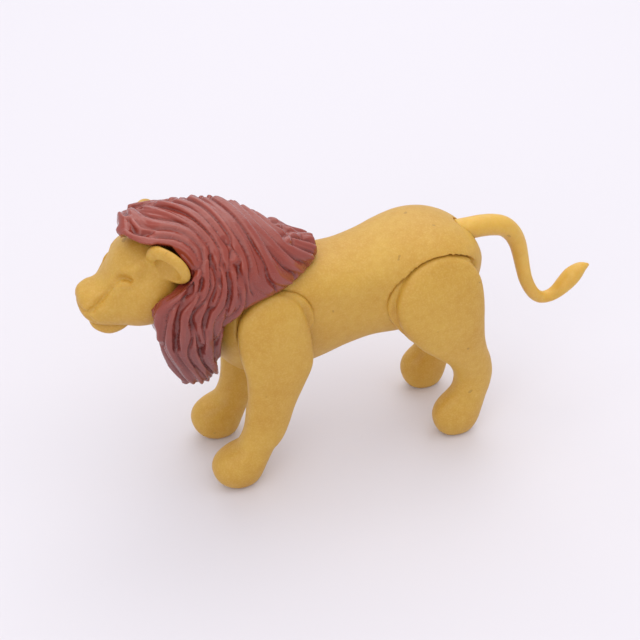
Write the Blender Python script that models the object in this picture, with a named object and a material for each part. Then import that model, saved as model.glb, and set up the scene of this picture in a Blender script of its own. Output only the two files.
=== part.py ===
"""Toy lion: a moulded plastic figure with paired swinging legs, a nodding head and a turning tail.

The lion faces -Y and stands on Z = 0, its left side is +X, and its box is centred in X and Y.
Lengths are in metres. Outlines are tables of shares of the named sizes of the piece they shape.
"""
import math

import bmesh
import bpy
from mathutils import Matrix, Vector

MM = 0.001

# Clearances and cuts
GAP = 0.3 * MM                  # between any two pieces
SWING_GAP = 0.5 * MM            # round pieces that pass each other in motion
OVERRUN = 3.0 * MM              # how far a cutter runs past what it cuts

# Lengths along the lion
AXLE_SPACING = 35.7 * MM        # front axle to rear axle
NECK_PIN_LEAD = 8.3 * MM        # front axle forward to the neck pin
HEAD_REACH = 28.2 * MM          # neck pin forward to the nose
CHEST_REACH = 11.5 * MM         # front axle forward to the chest
RUMP_REACH = 13.3 * MM          # rear axle back to the rump
TAIL_REACH = 29.0 * MM          # rump back to the tip of the tail
OVERALL_LENGTH = AXLE_SPACING + NECK_PIN_LEAD + HEAD_REACH + RUMP_REACH + TAIL_REACH
FRONT_AXLE_Y = HEAD_REACH + NECK_PIN_LEAD - OVERALL_LENGTH / 2
REAR_AXLE_Y = FRONT_AXLE_Y + AXLE_SPACING
NECK_PIN_Y = FRONT_AXLE_Y - NECK_PIN_LEAD
CHEST_Y = FRONT_AXLE_Y - CHEST_REACH
RUMP_Y = REAR_AXLE_Y + RUMP_REACH

# Heights
SHOULDER_HEIGHT = 39.4 * MM     # front axle above the ground
HIP_DROP = 1.9 * MM             # rear axle below the front one
HIP_HEIGHT = SHOULDER_HEIGHT - HIP_DROP
NECK_PIN_RISE = 2.6 * MM        # neck pin above the front axle
NECK_PIN_HEIGHT = SHOULDER_HEIGHT + NECK_PIN_RISE

# Torso
TORSO_LENGTH = CHEST_REACH + AXLE_SPACING + RUMP_REACH
TORSO_DEPTH = 29.3 * MM         # lowest belly to highest back
TORSO_BELLY_DROP = 16.1 * MM    # lowest belly below the front axle
TORSO_WIDTH = 24.8 * MM
TORSO_BELLY_Z = SHOULDER_HEIGHT - TORSO_BELLY_DROP
TORSO_POWER = 2.25              # fullness of the body's sections
TORSO_WAIST_SHARE = 0.70        # height of the widest line in each section
TORSO_SEGMENTS = 36
# (along the torso, top, bottom, width)
TORSO_STATION_SHARES = (
    (0.000, 0.72, 0.40, 0.16), (0.010, 0.80, 0.31, 0.36), (0.035, 0.87, 0.21, 0.58),
    (0.080, 0.92, 0.11, 0.78), (0.140, 0.945, 0.035, 0.86), (0.205, 0.94, 0.00, 0.86),
    (0.290, 0.925, 0.00, 0.77), (0.390, 0.905, 0.04, 0.73), (0.480, 0.905, 0.095, 0.715),
    (0.570, 0.935, 0.135, 0.76), (0.660, 0.975, 0.145, 0.88), (0.745, 1.00, 0.16, 0.95),
    (0.825, 0.985, 0.20, 0.94), (0.890, 0.94, 0.26, 0.83), (0.940, 0.87, 0.33, 0.65),
    (0.975, 0.77, 0.41, 0.43), (0.993, 0.66, 0.475, 0.25), (1.000, 0.60, 0.53, 0.12),
)
WALL = 1.8 * MM
CAVITY_HALF_WIDTH = 6.2 * MM
CAVITY_INSET = 8.5 * MM         # chest and rump to the ends of the hollow
CAVITY_POWER = 2.8
CAVITY_STEPS = 8
BELLY_OPENING_HALF_WIDTH = 5.0 * MM
BELLY_OPENING_LENGTH = 40.0 * MM
BELLY_OPENING_HEIGHT = 11.0 * MM  # how far the opening's cutter rises from the belly
BELLY_PLATE_THICKNESS = 1.8 * MM
BELLY_OPENING_MIDDLE_Y = (FRONT_AXLE_Y + REAR_AXLE_Y) / 2
BELLY_CORNER_STEPS = 6

# Leg pockets and axles
POCKET_FLOOR_X = 8.2 * MM
SHOULDER_RADIUS = 8.7 * MM
HAUNCH_RADIUS = 11.4 * MM
POCKET_SEGMENTS = 48
AXLE_RADIUS = 2.0 * MM
AXLE_SQUARE = 3.0 * MM          # side of the square ends that drive the legs
AXLE_ENGAGEMENT = 2.6 * MM      # depth of the square in each leg
AXLE_SEGMENTS = 20
LEG_POWER = 2.3
LEG_SEGMENTS = 24
LEG_INNER_X = POCKET_FLOOR_X + GAP
SWING_FLOOR_X = 9.3 * MM        # flat flanks that the legs pass over outside the pockets
POCKET_RIM = 1.5 * MM           # width of the shallow rim round the deep middle of each pocket
LEG_STEP = 1.0 * MM             # how far inside the deep middle a leg steps outwards
LEG_STEP_DROP = 2.0 * MM        # how far below the belly a leg keeps clear of the flanks
SWING_ROOM_RADIUS = 24.0 * MM   # reach of the flats that the legs swing over
SWING_ROOM_STEPS = 12
# Swing of each pair from rest, and how far its flats reach from straight down, front and back
FRONT_FORWARD = math.radians(20.0)
FRONT_BACK = math.radians(25.0)
REAR_FORWARD = math.radians(25.0)
REAR_BACK = math.radians(20.0)
FRONT_LEG_SPREAD = math.radians(42.0)
REAR_LEG_SPREAD_FRONT = math.radians(24.0)
REAR_LEG_SPREAD_BACK = math.radians(62.0)

# Front leg: (height as a share of the leg's, front, back, inner, outer)
FRONT_PAW_LENGTH = 12.2 * MM
FRONT_LEG_BULGE = 13.8 * MM     # outer face of the upper front leg
FRONT_LEG_STATION_SHARES = (
    (0.0000, -0.865, -0.455, 0.467, 0.772), (0.0130, -0.955, -0.385, 0.402, 0.827),
    (0.0380, -1.065, -0.305, 0.347, 0.882), (0.0740, -1.145, -0.245, 0.322, 0.922),
    (0.1160, -1.170, -0.175, 0.322, 0.932), (0.1580, -1.115, -0.095, 0.342, 0.917),
    (0.1900, -0.975, -0.025, 0.372, 0.892), (0.2150, -0.757, 0.060, 0.402, 0.882),
    (0.2500, -0.652, 0.145, 0.417, 0.882), (0.3150, -0.568, 0.235, 0.434, 0.889),
    (0.4200, -0.528, 0.345, 0.464, 0.919), (0.5270, -0.509, 0.495, 0.524, 0.959),
    (0.6100, -0.530, 0.600, 0.595, 0.990), (0.6700, -0.575, 0.625, 0.620, 1.000),
    (0.7380, -0.630, 0.605, 0.620, 1.005), (0.8100, -0.655, 0.560, 0.620, 0.995),
    (0.8700, -0.645, 0.505, 0.620, 0.975), (0.9200, -0.580, 0.430, 0.620, 0.930),
    (0.9600, -0.430, 0.330, 0.620, 0.870), (0.9860, -0.255, 0.195, 0.620, 0.800),
    (0.9980, -0.100, 0.060, 0.640, 0.745),
)

# Rear leg, likewise
REAR_PAW_LENGTH = 12.0 * MM
REAR_LEG_BULGE = 14.4 * MM
REAR_LEG_STATION_SHARES = (
    (0.0000, 0.370, 0.820, 0.488, 0.753), (0.0130, 0.285, 0.890, 0.438, 0.803),
    (0.0380, 0.190, 0.955, 0.403, 0.843), (0.0740, 0.125, 1.010, 0.388, 0.873),
    (0.1160, 0.095, 1.050, 0.388, 0.878), (0.1580, 0.125, 1.090, 0.403, 0.868),
    (0.1900, 0.215, 1.120, 0.413, 0.853), (0.2200, 0.345, 1.150, 0.423, 0.843),
    (0.2600, 0.455, 1.180, 0.428, 0.848), (0.3360, 0.460, 1.195, 0.438, 0.863),
    (0.4200, 0.287, 1.113, 0.465, 0.905), (0.4900, -0.014, 0.996, 0.515, 0.945),
    (0.5700, -0.363, 0.897, 0.581, 0.986), (0.6600, -0.640, 0.850, 0.595, 1.005),
    (0.7300, -0.780, 0.830, 0.595, 1.000), (0.8100, -0.830, 0.790, 0.595, 0.975),
    (0.8800, -0.760, 0.720, 0.595, 0.925), (0.9350, -0.610, 0.590, 0.595, 0.855),
    (0.9700, -0.430, 0.420, 0.595, 0.800), (0.9900, -0.240, 0.230, 0.595, 0.750),
    (0.9980, -0.100, 0.090, 0.610, 0.715),
)

# Tail: (along, rise, thickness), rise from the peg as a share of the droop
TAIL_PEG_RISE = 10.2 * MM       # tail peg above the rear axle
TAIL_PEG_Z = HIP_HEIGHT + TAIL_PEG_RISE
TAIL_ROOT_INSET = 5.5 * MM      # root face in front of the rump
TAIL_DROOP = 22.6 * MM
TAIL_ROOT_THICKNESS = 4.8 * MM
TAIL_SEGMENTS = 12
TAIL_STEPS = 26
TAIL_ROUTE_SHARES = (
    (0.000, 0.000, 1.00), (0.095, 0.000, 1.00), (0.175, 0.000, 0.99), (0.255, -0.015, 0.97),
    (0.330, -0.055, 0.92), (0.397, -0.150, 0.86), (0.445, -0.280, 0.79), (0.477, -0.430, 0.73),
    (0.504, -0.580, 0.68), (0.540, -0.745, 0.64), (0.598, -0.905, 0.60), (0.660, -0.990, 0.58),
    (0.727, -1.000, 0.60), (0.781, -0.965, 0.68), (0.834, -0.890, 0.82), (0.883, -0.810, 0.86),
    (0.940, -0.740, 0.60), (1.000, -0.715, 0.12),
)
PEG_RADIUS = 1.5 * MM
PEG_BULB_RADIUS = 2.1 * MM
PEG_BULB_LENGTH = 2.4 * MM
PEG_SEGMENTS = 20

# Neck and its pin
NECK_HALF_WIDTH = 4.2 * MM
NECK_DISC_RADIUS = 5.4 * MM
NECK_PIN_RADIUS = 1.4 * MM
NECK_PIN_HALF_LENGTH = 6.4 * MM
NECK_SLOT_DEPTH = 7.4 * MM      # slot behind the pin
NECK_SLOT_DROP = 6.4 * MM       # slot below the pin
NECK_END_SETBACK = 13.8 * MM    # nose back to the neck's end
NECK_RUN = HEAD_REACH - NECK_END_SETBACK
NECK_RISE = 8.8 * MM            # pin up to the neck's end
# Share of the neck's length, and its thickness there as a share of the hinge disc's
NECK_STATION_SHARES = ((0.0, 0.85), (0.5, 0.82), (0.94, 0.72), (1.0, 0.58))
NOD_RANGE = math.radians(10.0)  # how far the head can be lowered
SWEEP_STEPS = 3

# Head
HEAD_LENGTH = 20.4 * MM
HEAD_HEIGHT = 20.1 * MM
HEAD_WIDTH = 16.6 * MM
HEAD_BASE_DROP = 0.8 * MM       # underside of the head at the throat below the neck pin
NOSE_Y = NECK_PIN_Y - HEAD_REACH
HEAD_BASE_Z = NECK_PIN_HEIGHT - HEAD_BASE_DROP
HEAD_POWER = 2.15
HEAD_SEGMENTS = 28
HEAD_WAIST_SHARE = 0.45
# (along from the nose, top, bottom, width)
HEAD_STATION_SHARES = (
    (0.000, 0.425, 0.345, 0.14), (0.012, 0.460, 0.290, 0.34), (0.045, 0.495, 0.230, 0.50),
    (0.110, 0.530, 0.165, 0.60), (0.190, 0.560, 0.125, 0.64), (0.255, 0.610, 0.105, 0.68),
    (0.315, 0.700, 0.095, 0.74), (0.375, 0.795, 0.080, 0.80), (0.440, 0.875, 0.060, 0.86),
    (0.520, 0.940, 0.040, 0.94), (0.620, 0.975, 0.035, 0.99), (0.730, 0.985, 0.045, 1.00),
    (0.840, 0.950, 0.080, 0.93), (0.930, 0.860, 0.160, 0.76), (1.000, 0.720, 0.280, 0.48),
)
EAR_RADIUS = 4.5 * MM
EAR_THICKNESS = 3.0 * MM
EAR_OUT = 8.4 * MM              # middle of an ear from the middle of the head
EAR_BACK = 16.8 * MM            # middle of an ear behind the nose
EAR_RISE = 16.8 * MM            # middle of an ear above the throat
EAR_TURN = math.radians(38.0)   # how far an ear faces outwards from straight ahead
EAR_TILT = math.radians(20.0)
EAR_DENT_SHARE = 0.70
EAR_SEGMENTS = 16

# Jaw
JAW_LENGTH = 8.3 * MM
JAW_WIDTH = 7.0 * MM
JAW_DROP = 0.4 * MM             # chin below the throat
JAW_SETBACK = 1.8 * MM          # chin behind the nose
JAW_POST_HALF_WIDTH = 1.6 * MM
JAW_POST_LENGTH = 3.0 * MM
JAW_POST_RISE = 3.6 * MM
JAW_SEGMENTS = 20
# (along from the chin, top, bottom, width)
JAW_STATION_SHARES = (
    (0.00, 0.80, 0.55, 0.30), (0.06, 0.92, 0.32, 0.62), (0.18, 1.00, 0.10, 0.88),
    (0.36, 1.00, 0.00, 1.00), (0.55, 1.00, 0.06, 0.98), (0.74, 0.98, 0.26, 0.86),
    (0.90, 0.90, 0.50, 0.62), (1.00, 0.78, 0.64, 0.30),
)
JAW_BODY_HEIGHT = 4.4 * MM
JAW_WAIST_SHARE = 0.5           # height of the chin's widest line

# Mane
MANE_LENGTH = 38.8 * MM         # forelock to the hindmost lock
MANE_WIDTH = 24.8 * MM
MANE_HEIGHT = 36.8 * MM         # lowest lock to the crown
MANE_SETBACK = 9.7 * MM         # nose back to the forelock
MANE_DROP = 13.2 * MM           # neck pin down to the lowest lock
MANE_FRONT_Y = NOSE_Y + MANE_SETBACK
MANE_BASE_Z = NECK_PIN_HEIGHT - MANE_DROP
MANE_LEG_GAP = 1.3 * MM         # mane above the tops of the front legs
MANE_SEGMENTS = 44
MANE_POWER = 2.4
MANE_WAIST_SHARE = 0.30
LOCK_COUNT = 15                 # strands round the hood
LOCK_DEPTH_SHARE = 0.045        # depth of the strands' grooves
LOCK_TWIST = 1.9                # turns of phase from front to back
# hood, front to back: (along, top, bottom, width)
HOOD_STATION_SHARES = (
    (0.000, 0.980, 0.87, 0.20), (0.015, 1.000, 0.85, 0.36), (0.060, 0.995, 0.84, 0.52),
    (0.120, 0.968, 0.80, 0.72), (0.200, 0.990, 0.56, 0.90), (0.280, 0.995, 0.41, 0.99),
    (0.370, 0.988, 0.37, 1.01), (0.470, 0.965, 0.39, 1.00), (0.570, 0.918, 0.430, 0.97),
    (0.680, 0.833, 0.470, 0.91), (0.790, 0.760, 0.50, 0.75), (0.890, 0.694, 0.53, 0.52),
    (0.960, 0.664, 0.56, 0.34), (1.000, 0.650, 0.58, 0.16),
)
# side lobe, top to bottom: (height, front, back, inner, outer)
LOBE_STATION_SHARES = (
    (0.810, 0.260, 0.500, 0.35, 0.64), (0.730, 0.200, 0.525, 0.28, 0.81),
    (0.655, 0.140, 0.540, 0.22, 0.94), (0.577, 0.090, 0.545, 0.20, 1.01),
    (0.500, 0.080, 0.515, 0.16, 1.01), (0.404, 0.085, 0.470, 0.14, 0.99),
    (0.308, 0.095, 0.430, 0.14, 0.95), (0.212, 0.115, 0.410, 0.16, 0.90),
    (0.115, 0.150, 0.400, 0.20, 0.84), (0.048, 0.190, 0.385, 0.27, 0.76),
    (0.000, 0.240, 0.345, 0.37, 0.64),
)
LOBE_SEGMENTS = 32
LOBE_POWER = 2.2
LOBE_LOCKS = 8

# Finishes: base colour and roughness
YELLOW = (0.60, 0.36, 0.085, 1.0)
TAIL_YELLOW = (0.62, 0.35, 0.055, 1.0)
RED_BROWN = (0.27, 0.065, 0.045, 1.0)
INNER_GREY = (0.45, 0.44, 0.42, 1.0)
MATT = 0.55
SATIN = 0.40


def clear_scene():
    """Remove everything that the default scene holds."""
    for obj in list(bpy.data.objects):
        bpy.data.objects.remove(obj, do_unlink=True)


def plastic(name, colour, roughness):
    """A moulded plastic material."""
    material = bpy.data.materials.new(name)
    material.use_nodes = True
    shader = material.node_tree.nodes["Principled BSDF"]
    shader.inputs["Base Color"].default_value = colour
    shader.inputs["Roughness"].default_value = roughness
    shader.inputs["Metallic"].default_value = 0.0
    return material


def add_object(name, bm, material=None):
    """Turn a bmesh into an object of the scene."""
    bmesh.ops.recalc_face_normals(bm, faces=bm.faces)
    mesh = bpy.data.meshes.new(name)
    bm.to_mesh(mesh)
    bm.free()
    mesh.shade_smooth()
    obj = bpy.data.objects.new(name, mesh)
    bpy.context.scene.collection.objects.link(obj)
    if material is not None:
        mesh.materials.append(material)
    return obj


def as_cutter(obj):
    """Mark an object as a tool that isn't part of the lion."""
    obj.hide_render = True
    obj.display_type = 'WIRE'
    return obj


def combine(obj, tool, operation):
    """Add a live Boolean of a hidden tool to an object."""
    as_cutter(tool)
    boolean = obj.modifiers.new(operation.title(), 'BOOLEAN')
    boolean.operation = operation
    boolean.solver = 'EXACT'
    boolean.object = tool


def cut(obj, *tools):
    """Take each tool out of the object."""
    for tool in tools:
        combine(obj, tool, 'DIFFERENCE')


def fuse(obj, *tools):
    """Join each tool to the object as one body."""
    for tool in tools:
        combine(obj, tool, 'UNION')


def rounded(angle, power):
    """Point of a unit superellipse at an angle."""
    side = math.cos(angle)
    rise = math.sin(angle)
    return (math.copysign(abs(side) ** (2 / power), side),
            math.copysign(abs(rise) ** (2 / power), rise))


def loft_bmesh(rings):
    """Skin a list of rings of points and close both ends."""
    bm = bmesh.new()
    rows = [[bm.verts.new(point) for point in ring] for ring in rings]
    count = len(rows[0])
    for lower, upper in zip(rows, rows[1:]):
        for index in range(count):
            after = (index + 1) % count
            bm.faces.new((lower[index], lower[after], upper[after], upper[index]))
    bm.faces.new(rows[0])
    bm.faces.new(rows[-1])
    return bm


def faceted_loft(rings):
    """Skin a list of rings with triangles alone, which later cuts follow exactly."""
    bm = loft_bmesh(rings)
    bmesh.ops.triangulate(bm, faces=bm.faces)
    return bm


def upright_ring(y, top, bottom, half_width, power, waist, segments, ripple=None):
    """Ring in the XZ plane at y, widest at the waist share of its height."""
    middle = bottom + waist * (top - bottom)
    points = []
    for index in range(segments):
        angle = math.tau * index / segments
        side, rise = rounded(angle, power)
        reach = 1.0 + (ripple(angle) if ripple else 0.0)
        half_height = top - middle if rise > 0 else middle - bottom
        points.append(Vector((side * half_width * reach, y, middle + rise * half_height * reach)))
    return points


def level_ring(z, front, back, inner, outer, power, segments, ripple=None):
    """Ring in the XY plane at z."""
    middle_x = (inner + outer) / 2
    middle_y = (front + back) / 2
    points = []
    for index in range(segments):
        angle = math.tau * index / segments
        side, along = rounded(angle, power)
        reach = 1.0 + (ripple(angle) if ripple else 0.0)
        points.append(Vector((middle_x + side * (outer - inner) / 2 * reach,
                              middle_y + along * (back - front) / 2 * reach, z)))
    return points


def mirrored(rings):
    """The same rings on the other side of the lion."""
    return [[Vector((-point.x, point.y, point.z)) for point in ring] for ring in rings]


def cylinder_x(name, y, z, radius, x_from, x_to, segments, material=None):
    """Cylinder along X."""
    rings = []
    for x in (x_from, x_to):
        rings.append([Vector((x, y + radius * math.cos(math.tau * index / segments),
                              z + radius * math.sin(math.tau * index / segments)))
                      for index in range(segments)])
    return add_object(name, loft_bmesh(rings), material)


def box(name, low, high):
    """Box between two corners."""
    bm = bmesh.new()
    bmesh.ops.create_cube(bm, size=1.0)
    size = Vector(high) - Vector(low)
    middle = (Vector(high) + Vector(low)) / 2
    bmesh.ops.scale(bm, vec=size, verts=bm.verts)
    bmesh.ops.translate(bm, vec=middle, verts=bm.verts)
    return add_object(name, bm)


def swing_room(name, side, y, z, forward, back):
    """Sector below an axle, outside the flat flank, that a swinging leg passes through."""
    rings = []
    for x in (SWING_FLOOR_X, TORSO_WIDTH / 2 + OVERRUN):
        ring = [Vector((side * x, y, z))]
        for step in range(SWING_ROOM_STEPS + 1):
            angle = -forward + (forward + back) * step / SWING_ROOM_STEPS
            ring.append(Vector((side * x, y + SWING_ROOM_RADIUS * math.sin(angle),
                                z - SWING_ROOM_RADIUS * math.cos(angle))))
        rings.append(ring)
    return add_object(name, loft_bmesh(rings))


def pocket_rim(name, side, y, z, radius, lean):
    """Disc-shaped cutter outside the flat flank, whose floor leans inwards towards its top."""
    rings = []
    for x, share in ((SWING_FLOOR_X, 1.0), (TORSO_WIDTH / 2 + OVERRUN, 0.0)):
        ring = []
        for step in range(POCKET_SEGMENTS):
            angle = math.tau * step / POCKET_SEGMENTS
            ring.append(Vector((side * (x - share * lean * math.sin(angle)),
                                y + radius * math.cos(angle), z + radius * math.sin(angle))))
        rings.append(ring)
    return add_object(name, loft_bmesh(rings))


def turned_copy(obj, name, angle, y, z):
    """Copy of an object's mesh, turned about an X axis through y and z."""
    mesh = obj.data.copy()
    pivot = Vector((0, y, z))
    turn = Matrix.Translation(pivot) @ Matrix.Rotation(angle, 4, 'X') @ Matrix.Translation(-pivot)
    mesh.transform(turn)
    copy = bpy.data.objects.new(name, mesh)
    bpy.context.scene.collection.objects.link(copy)
    return copy


def torso_rings(margin):
    """Rings of the torso's outer surface, grown by a margin."""
    rings = []
    last = len(TORSO_STATION_SHARES) - 1
    for index, (along, top, bottom, width) in enumerate(TORSO_STATION_SHARES):
        y = CHEST_Y + along * TORSO_LENGTH
        if index == 0:
            y -= margin
        if index == last:
            y += margin
        rings.append(upright_ring(y, TORSO_BELLY_Z + top * TORSO_DEPTH + margin,
                                  TORSO_BELLY_Z + bottom * TORSO_DEPTH - margin,
                                  width * TORSO_WIDTH / 2 + margin, TORSO_POWER, TORSO_WAIST_SHARE,
                                  TORSO_SEGMENTS))
    return rings


def torso_level_at(y, column):
    """Top (column 1) or bottom (column 2) of the torso at a place along it."""
    along = (y - CHEST_Y) / TORSO_LENGTH
    for before, after in zip(TORSO_STATION_SHARES, TORSO_STATION_SHARES[1:]):
        if before[0] <= along <= after[0]:
            part = (along - before[0]) / (after[0] - before[0])
            share = before[column] + part * (after[column] - before[column])
            return TORSO_BELLY_Z + share * TORSO_DEPTH
    return TORSO_BELLY_Z


def cavity_rings():
    """Rings of the hollow inside the torso."""
    start = CHEST_Y + CAVITY_INSET
    length = TORSO_LENGTH - 2 * CAVITY_INSET
    rings = []
    for step in range(CAVITY_STEPS + 1):
        y = start + length * step / CAVITY_STEPS
        rings.append(upright_ring(y, torso_level_at(y, 1) - WALL, torso_level_at(y, 2) + WALL,
                                  CAVITY_HALF_WIDTH, CAVITY_POWER, TORSO_WAIST_SHARE,
                                  TORSO_SEGMENTS))
    return rings


def belly_outline(name, shrink):
    """Upright prism with round ends that marks the belly opening."""
    half_width = BELLY_OPENING_HALF_WIDTH - shrink
    half_run = BELLY_OPENING_LENGTH / 2 - BELLY_OPENING_HALF_WIDTH
    rings = []
    for z in (TORSO_BELLY_Z - OVERRUN, TORSO_BELLY_Z + BELLY_OPENING_HEIGHT):
        ring = []
        for end, start_angle in ((1, 0.0), (-1, math.pi)):
            for step in range(BELLY_CORNER_STEPS + 1):
                angle = start_angle + math.pi * step / BELLY_CORNER_STEPS
                ring.append(Vector((half_width * math.cos(angle),
                                    BELLY_OPENING_MIDDLE_Y + end * half_run
                                    + half_width * math.sin(angle), z)))
        rings.append(ring)
    return add_object(name, loft_bmesh(rings))


def build_torso(material):
    """Hollow torso with pockets for the legs, bores for the axles and a fork for the neck."""
    torso = add_object("torso_shell", loft_bmesh(torso_rings(0.0)), material)
    cut(torso, add_object("torso_cavity", loft_bmesh(cavity_rings())), belly_outline("belly_opening", 0.0))
    for name, y, z, radius, forward, back in (
            ("shoulder", FRONT_AXLE_Y, SHOULDER_HEIGHT, SHOULDER_RADIUS,
             FRONT_LEG_SPREAD + FRONT_FORWARD, FRONT_LEG_SPREAD + FRONT_BACK),
            ("haunch", REAR_AXLE_Y, HIP_HEIGHT, HAUNCH_RADIUS,
             REAR_LEG_SPREAD_FRONT + REAR_FORWARD, REAR_LEG_SPREAD_BACK + REAR_BACK)):
        for side in (-1, 1):
            cut(torso, pocket_rim(f"{name}_rim_{side}", side, y, z, radius + GAP, 0.0),
                swing_room(f"{name}_room_{side}", side, y, z, forward, back),
                pocket_rim(f"{name}_lip_{side}", side, y, z, radius + GAP, SWING_FLOOR_X - POCKET_FLOOR_X),
                cylinder_x(f"{name}_pocket_{side}", y, z, radius + GAP - POCKET_RIM,
                           side * POCKET_FLOOR_X, side * (TORSO_WIDTH / 2 + OVERRUN), POCKET_SEGMENTS))
        cut(torso, cylinder_x(f"{name}_bore", y, z, AXLE_RADIUS + GAP, -POCKET_FLOOR_X - OVERRUN,
                              POCKET_FLOOR_X + OVERRUN, AXLE_SEGMENTS))
    slot_half = NECK_HALF_WIDTH + GAP
    cut(torso,
        box("neck_slot", (-slot_half, CHEST_Y - OVERRUN, NECK_PIN_HEIGHT - NECK_SLOT_DROP),
            (slot_half, NECK_PIN_Y + NECK_SLOT_DEPTH, TORSO_BELLY_Z + TORSO_DEPTH + OVERRUN)),
        cylinder_x("neck_pin_bore", NECK_PIN_Y, NECK_PIN_HEIGHT, NECK_PIN_RADIUS + GAP,
                   -NECK_PIN_HALF_LENGTH - GAP, NECK_PIN_HALF_LENGTH + GAP, AXLE_SEGMENTS),
        peg("tail_bore", PEG_RADIUS + GAP, RUMP_Y - CAVITY_INSET - OVERRUN, RUMP_Y + OVERRUN),
        tail_root_seat())
    return torso


def build_belly_plate(material):
    """Plate that closes the belly opening, flush with the torso."""
    plate = add_object("belly_plate", loft_bmesh(torso_rings(0.0)), material)
    combine(plate, belly_outline("belly_plate_outline", GAP), 'INTERSECT')
    inner = []
    for ring in torso_rings(0.0):
        inner.append([Vector((point.x, point.y, point.z + BELLY_PLATE_THICKNESS)) for point in ring])
    cut(plate, add_object("belly_plate_room", loft_bmesh(inner)))
    return plate


def leg_rings(shares, axle_y, axle_z, radius, paw_length, bulge):
    """Rings of a left leg, sole first."""
    rings = []
    for height, front, back, inner, outer in shares:
        z = height * (axle_z + radius)
        ring = level_ring(z, axle_y + front * paw_length, axle_y + back * paw_length,
                          inner * bulge, outer * bulge, LEG_POWER, LEG_SEGMENTS)
        if z > TORSO_BELLY_Z - LEG_STEP_DROP:
            for point in ring:
                in_pocket = math.hypot(point.y - axle_y, z - axle_z) < radius - POCKET_RIM - LEG_STEP
                point.x = max(point.x, LEG_INNER_X if in_pocket else SWING_FLOOR_X + GAP)
        rings.append(ring)
    return rings


def build_leg_pair(prefix, shares, axle_y, axle_z, radius, paw_length, bulge, material, axle_material):
    """Two legs keyed on the square ends of one cross axle."""
    rings = leg_rings(shares, axle_y, axle_z, radius, paw_length, bulge)
    socket = AXLE_SQUARE / 2 + GAP
    reach = LEG_INNER_X + AXLE_ENGAGEMENT
    for side, word in ((1, "left"), (-1, "right")):
        body = loft_bmesh(rings if side > 0 else mirrored(rings))
        leg = add_object(f"{prefix}_{word}_leg", body, material)
        ends = sorted((side * (LEG_INNER_X - OVERRUN), side * (reach + GAP)))
        cut(leg, box(f"{prefix}_{word}_socket", (ends[0], axle_y - socket, axle_z - socket),
                     (ends[1], axle_y + socket, axle_z + socket)))
        place_origin(leg, axle_y, axle_z)
    axle = cylinder_x(f"{prefix}_axle", axle_y, axle_z, AXLE_RADIUS, -POCKET_FLOOR_X + GAP,
                      POCKET_FLOOR_X - GAP, AXLE_SEGMENTS, axle_material)
    half = AXLE_SQUARE / 2
    fuse(axle, box(f"{prefix}_axle_square", (-reach, axle_y - half, axle_z - half),
                   (reach, axle_y + half, axle_z + half)))
    place_origin(axle, axle_y, axle_z)


def place_origin(obj, y, z):
    """Put an object's origin on its joint's axis without moving its shape."""
    obj.data.transform(Matrix.Translation((0, -y, -z)))
    obj.location = (0, y, z)


def peg(name, radius, y_from, y_to):
    """Round peg along Y on the tail's axis."""
    rings = []
    for y in (y_from, y_to):
        rings.append([Vector((radius * math.cos(math.tau * index / PEG_SEGMENTS), y,
                              TAIL_PEG_Z + radius * math.sin(math.tau * index / PEG_SEGMENTS)))
                      for index in range(PEG_SEGMENTS)])
    return add_object(name, loft_bmesh(rings))


def tail_root_seat():
    """Round recess in the rump that the tail's root turns in."""
    return peg("tail_seat", TAIL_ROOT_THICKNESS / 2 + GAP, RUMP_Y - TAIL_ROOT_INSET - GAP, RUMP_Y + OVERRUN)


def smooth_value(table, share, column):
    """Value of a table at a share of its rows, on a smooth curve through them."""
    place = share * (len(table) - 1)
    index = min(int(place), len(table) - 2)
    part = place - index
    before = table[max(index - 1, 0)][column]
    low = table[index][column]
    high = table[index + 1][column]
    after = table[min(index + 2, len(table) - 1)][column]
    return low + 0.5 * part * (high - before + part * (2 * before - 5 * low + 4 * high - after
                                                       + part * (3 * (low - high) + after - before)))


def tail_rings():
    """Rings square to the tail's middle line."""
    start = RUMP_Y - TAIL_ROOT_INSET
    run = TAIL_REACH + TAIL_ROOT_INSET
    route = []
    for step in range(TAIL_STEPS + 1):
        share = step / TAIL_STEPS
        route.append((start + run * smooth_value(TAIL_ROUTE_SHARES, share, 0),
                      TAIL_PEG_Z + TAIL_DROOP * smooth_value(TAIL_ROUTE_SHARES, share, 1),
                      TAIL_ROOT_THICKNESS / 2 * smooth_value(TAIL_ROUTE_SHARES, share, 2)))
    rings = []
    for index, (y, z, radius) in enumerate(route):
        before = route[max(index - 1, 0)]
        after = route[min(index + 1, len(route) - 1)]
        along = Vector((0, after[0] - before[0], after[1] - before[1])).normalized()
        if index == 0:
            along = Vector((0, 1, 0))
        across = Vector((0, -along.z, along.y))
        angles = [math.tau * step / TAIL_SEGMENTS for step in range(TAIL_SEGMENTS)]
        rings.append([Vector((radius * math.cos(angle), y, z)) + radius * math.sin(angle) * across
                      for angle in angles])
    return rings


def build_tail(material):
    """Tail with a peg and a bulb that hold it in the rump."""
    tail = add_object("tail", loft_bmesh(tail_rings()), material)
    bulb_back = RUMP_Y - CAVITY_INSET - GAP
    fuse(tail, peg("tail_peg", PEG_RADIUS, bulb_back - PEG_BULB_LENGTH / 2, RUMP_Y),
         peg("tail_bulb", PEG_BULB_RADIUS, bulb_back - PEG_BULB_LENGTH, bulb_back))
    place_origin(tail, RUMP_Y, TAIL_PEG_Z)
    return tail


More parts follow.
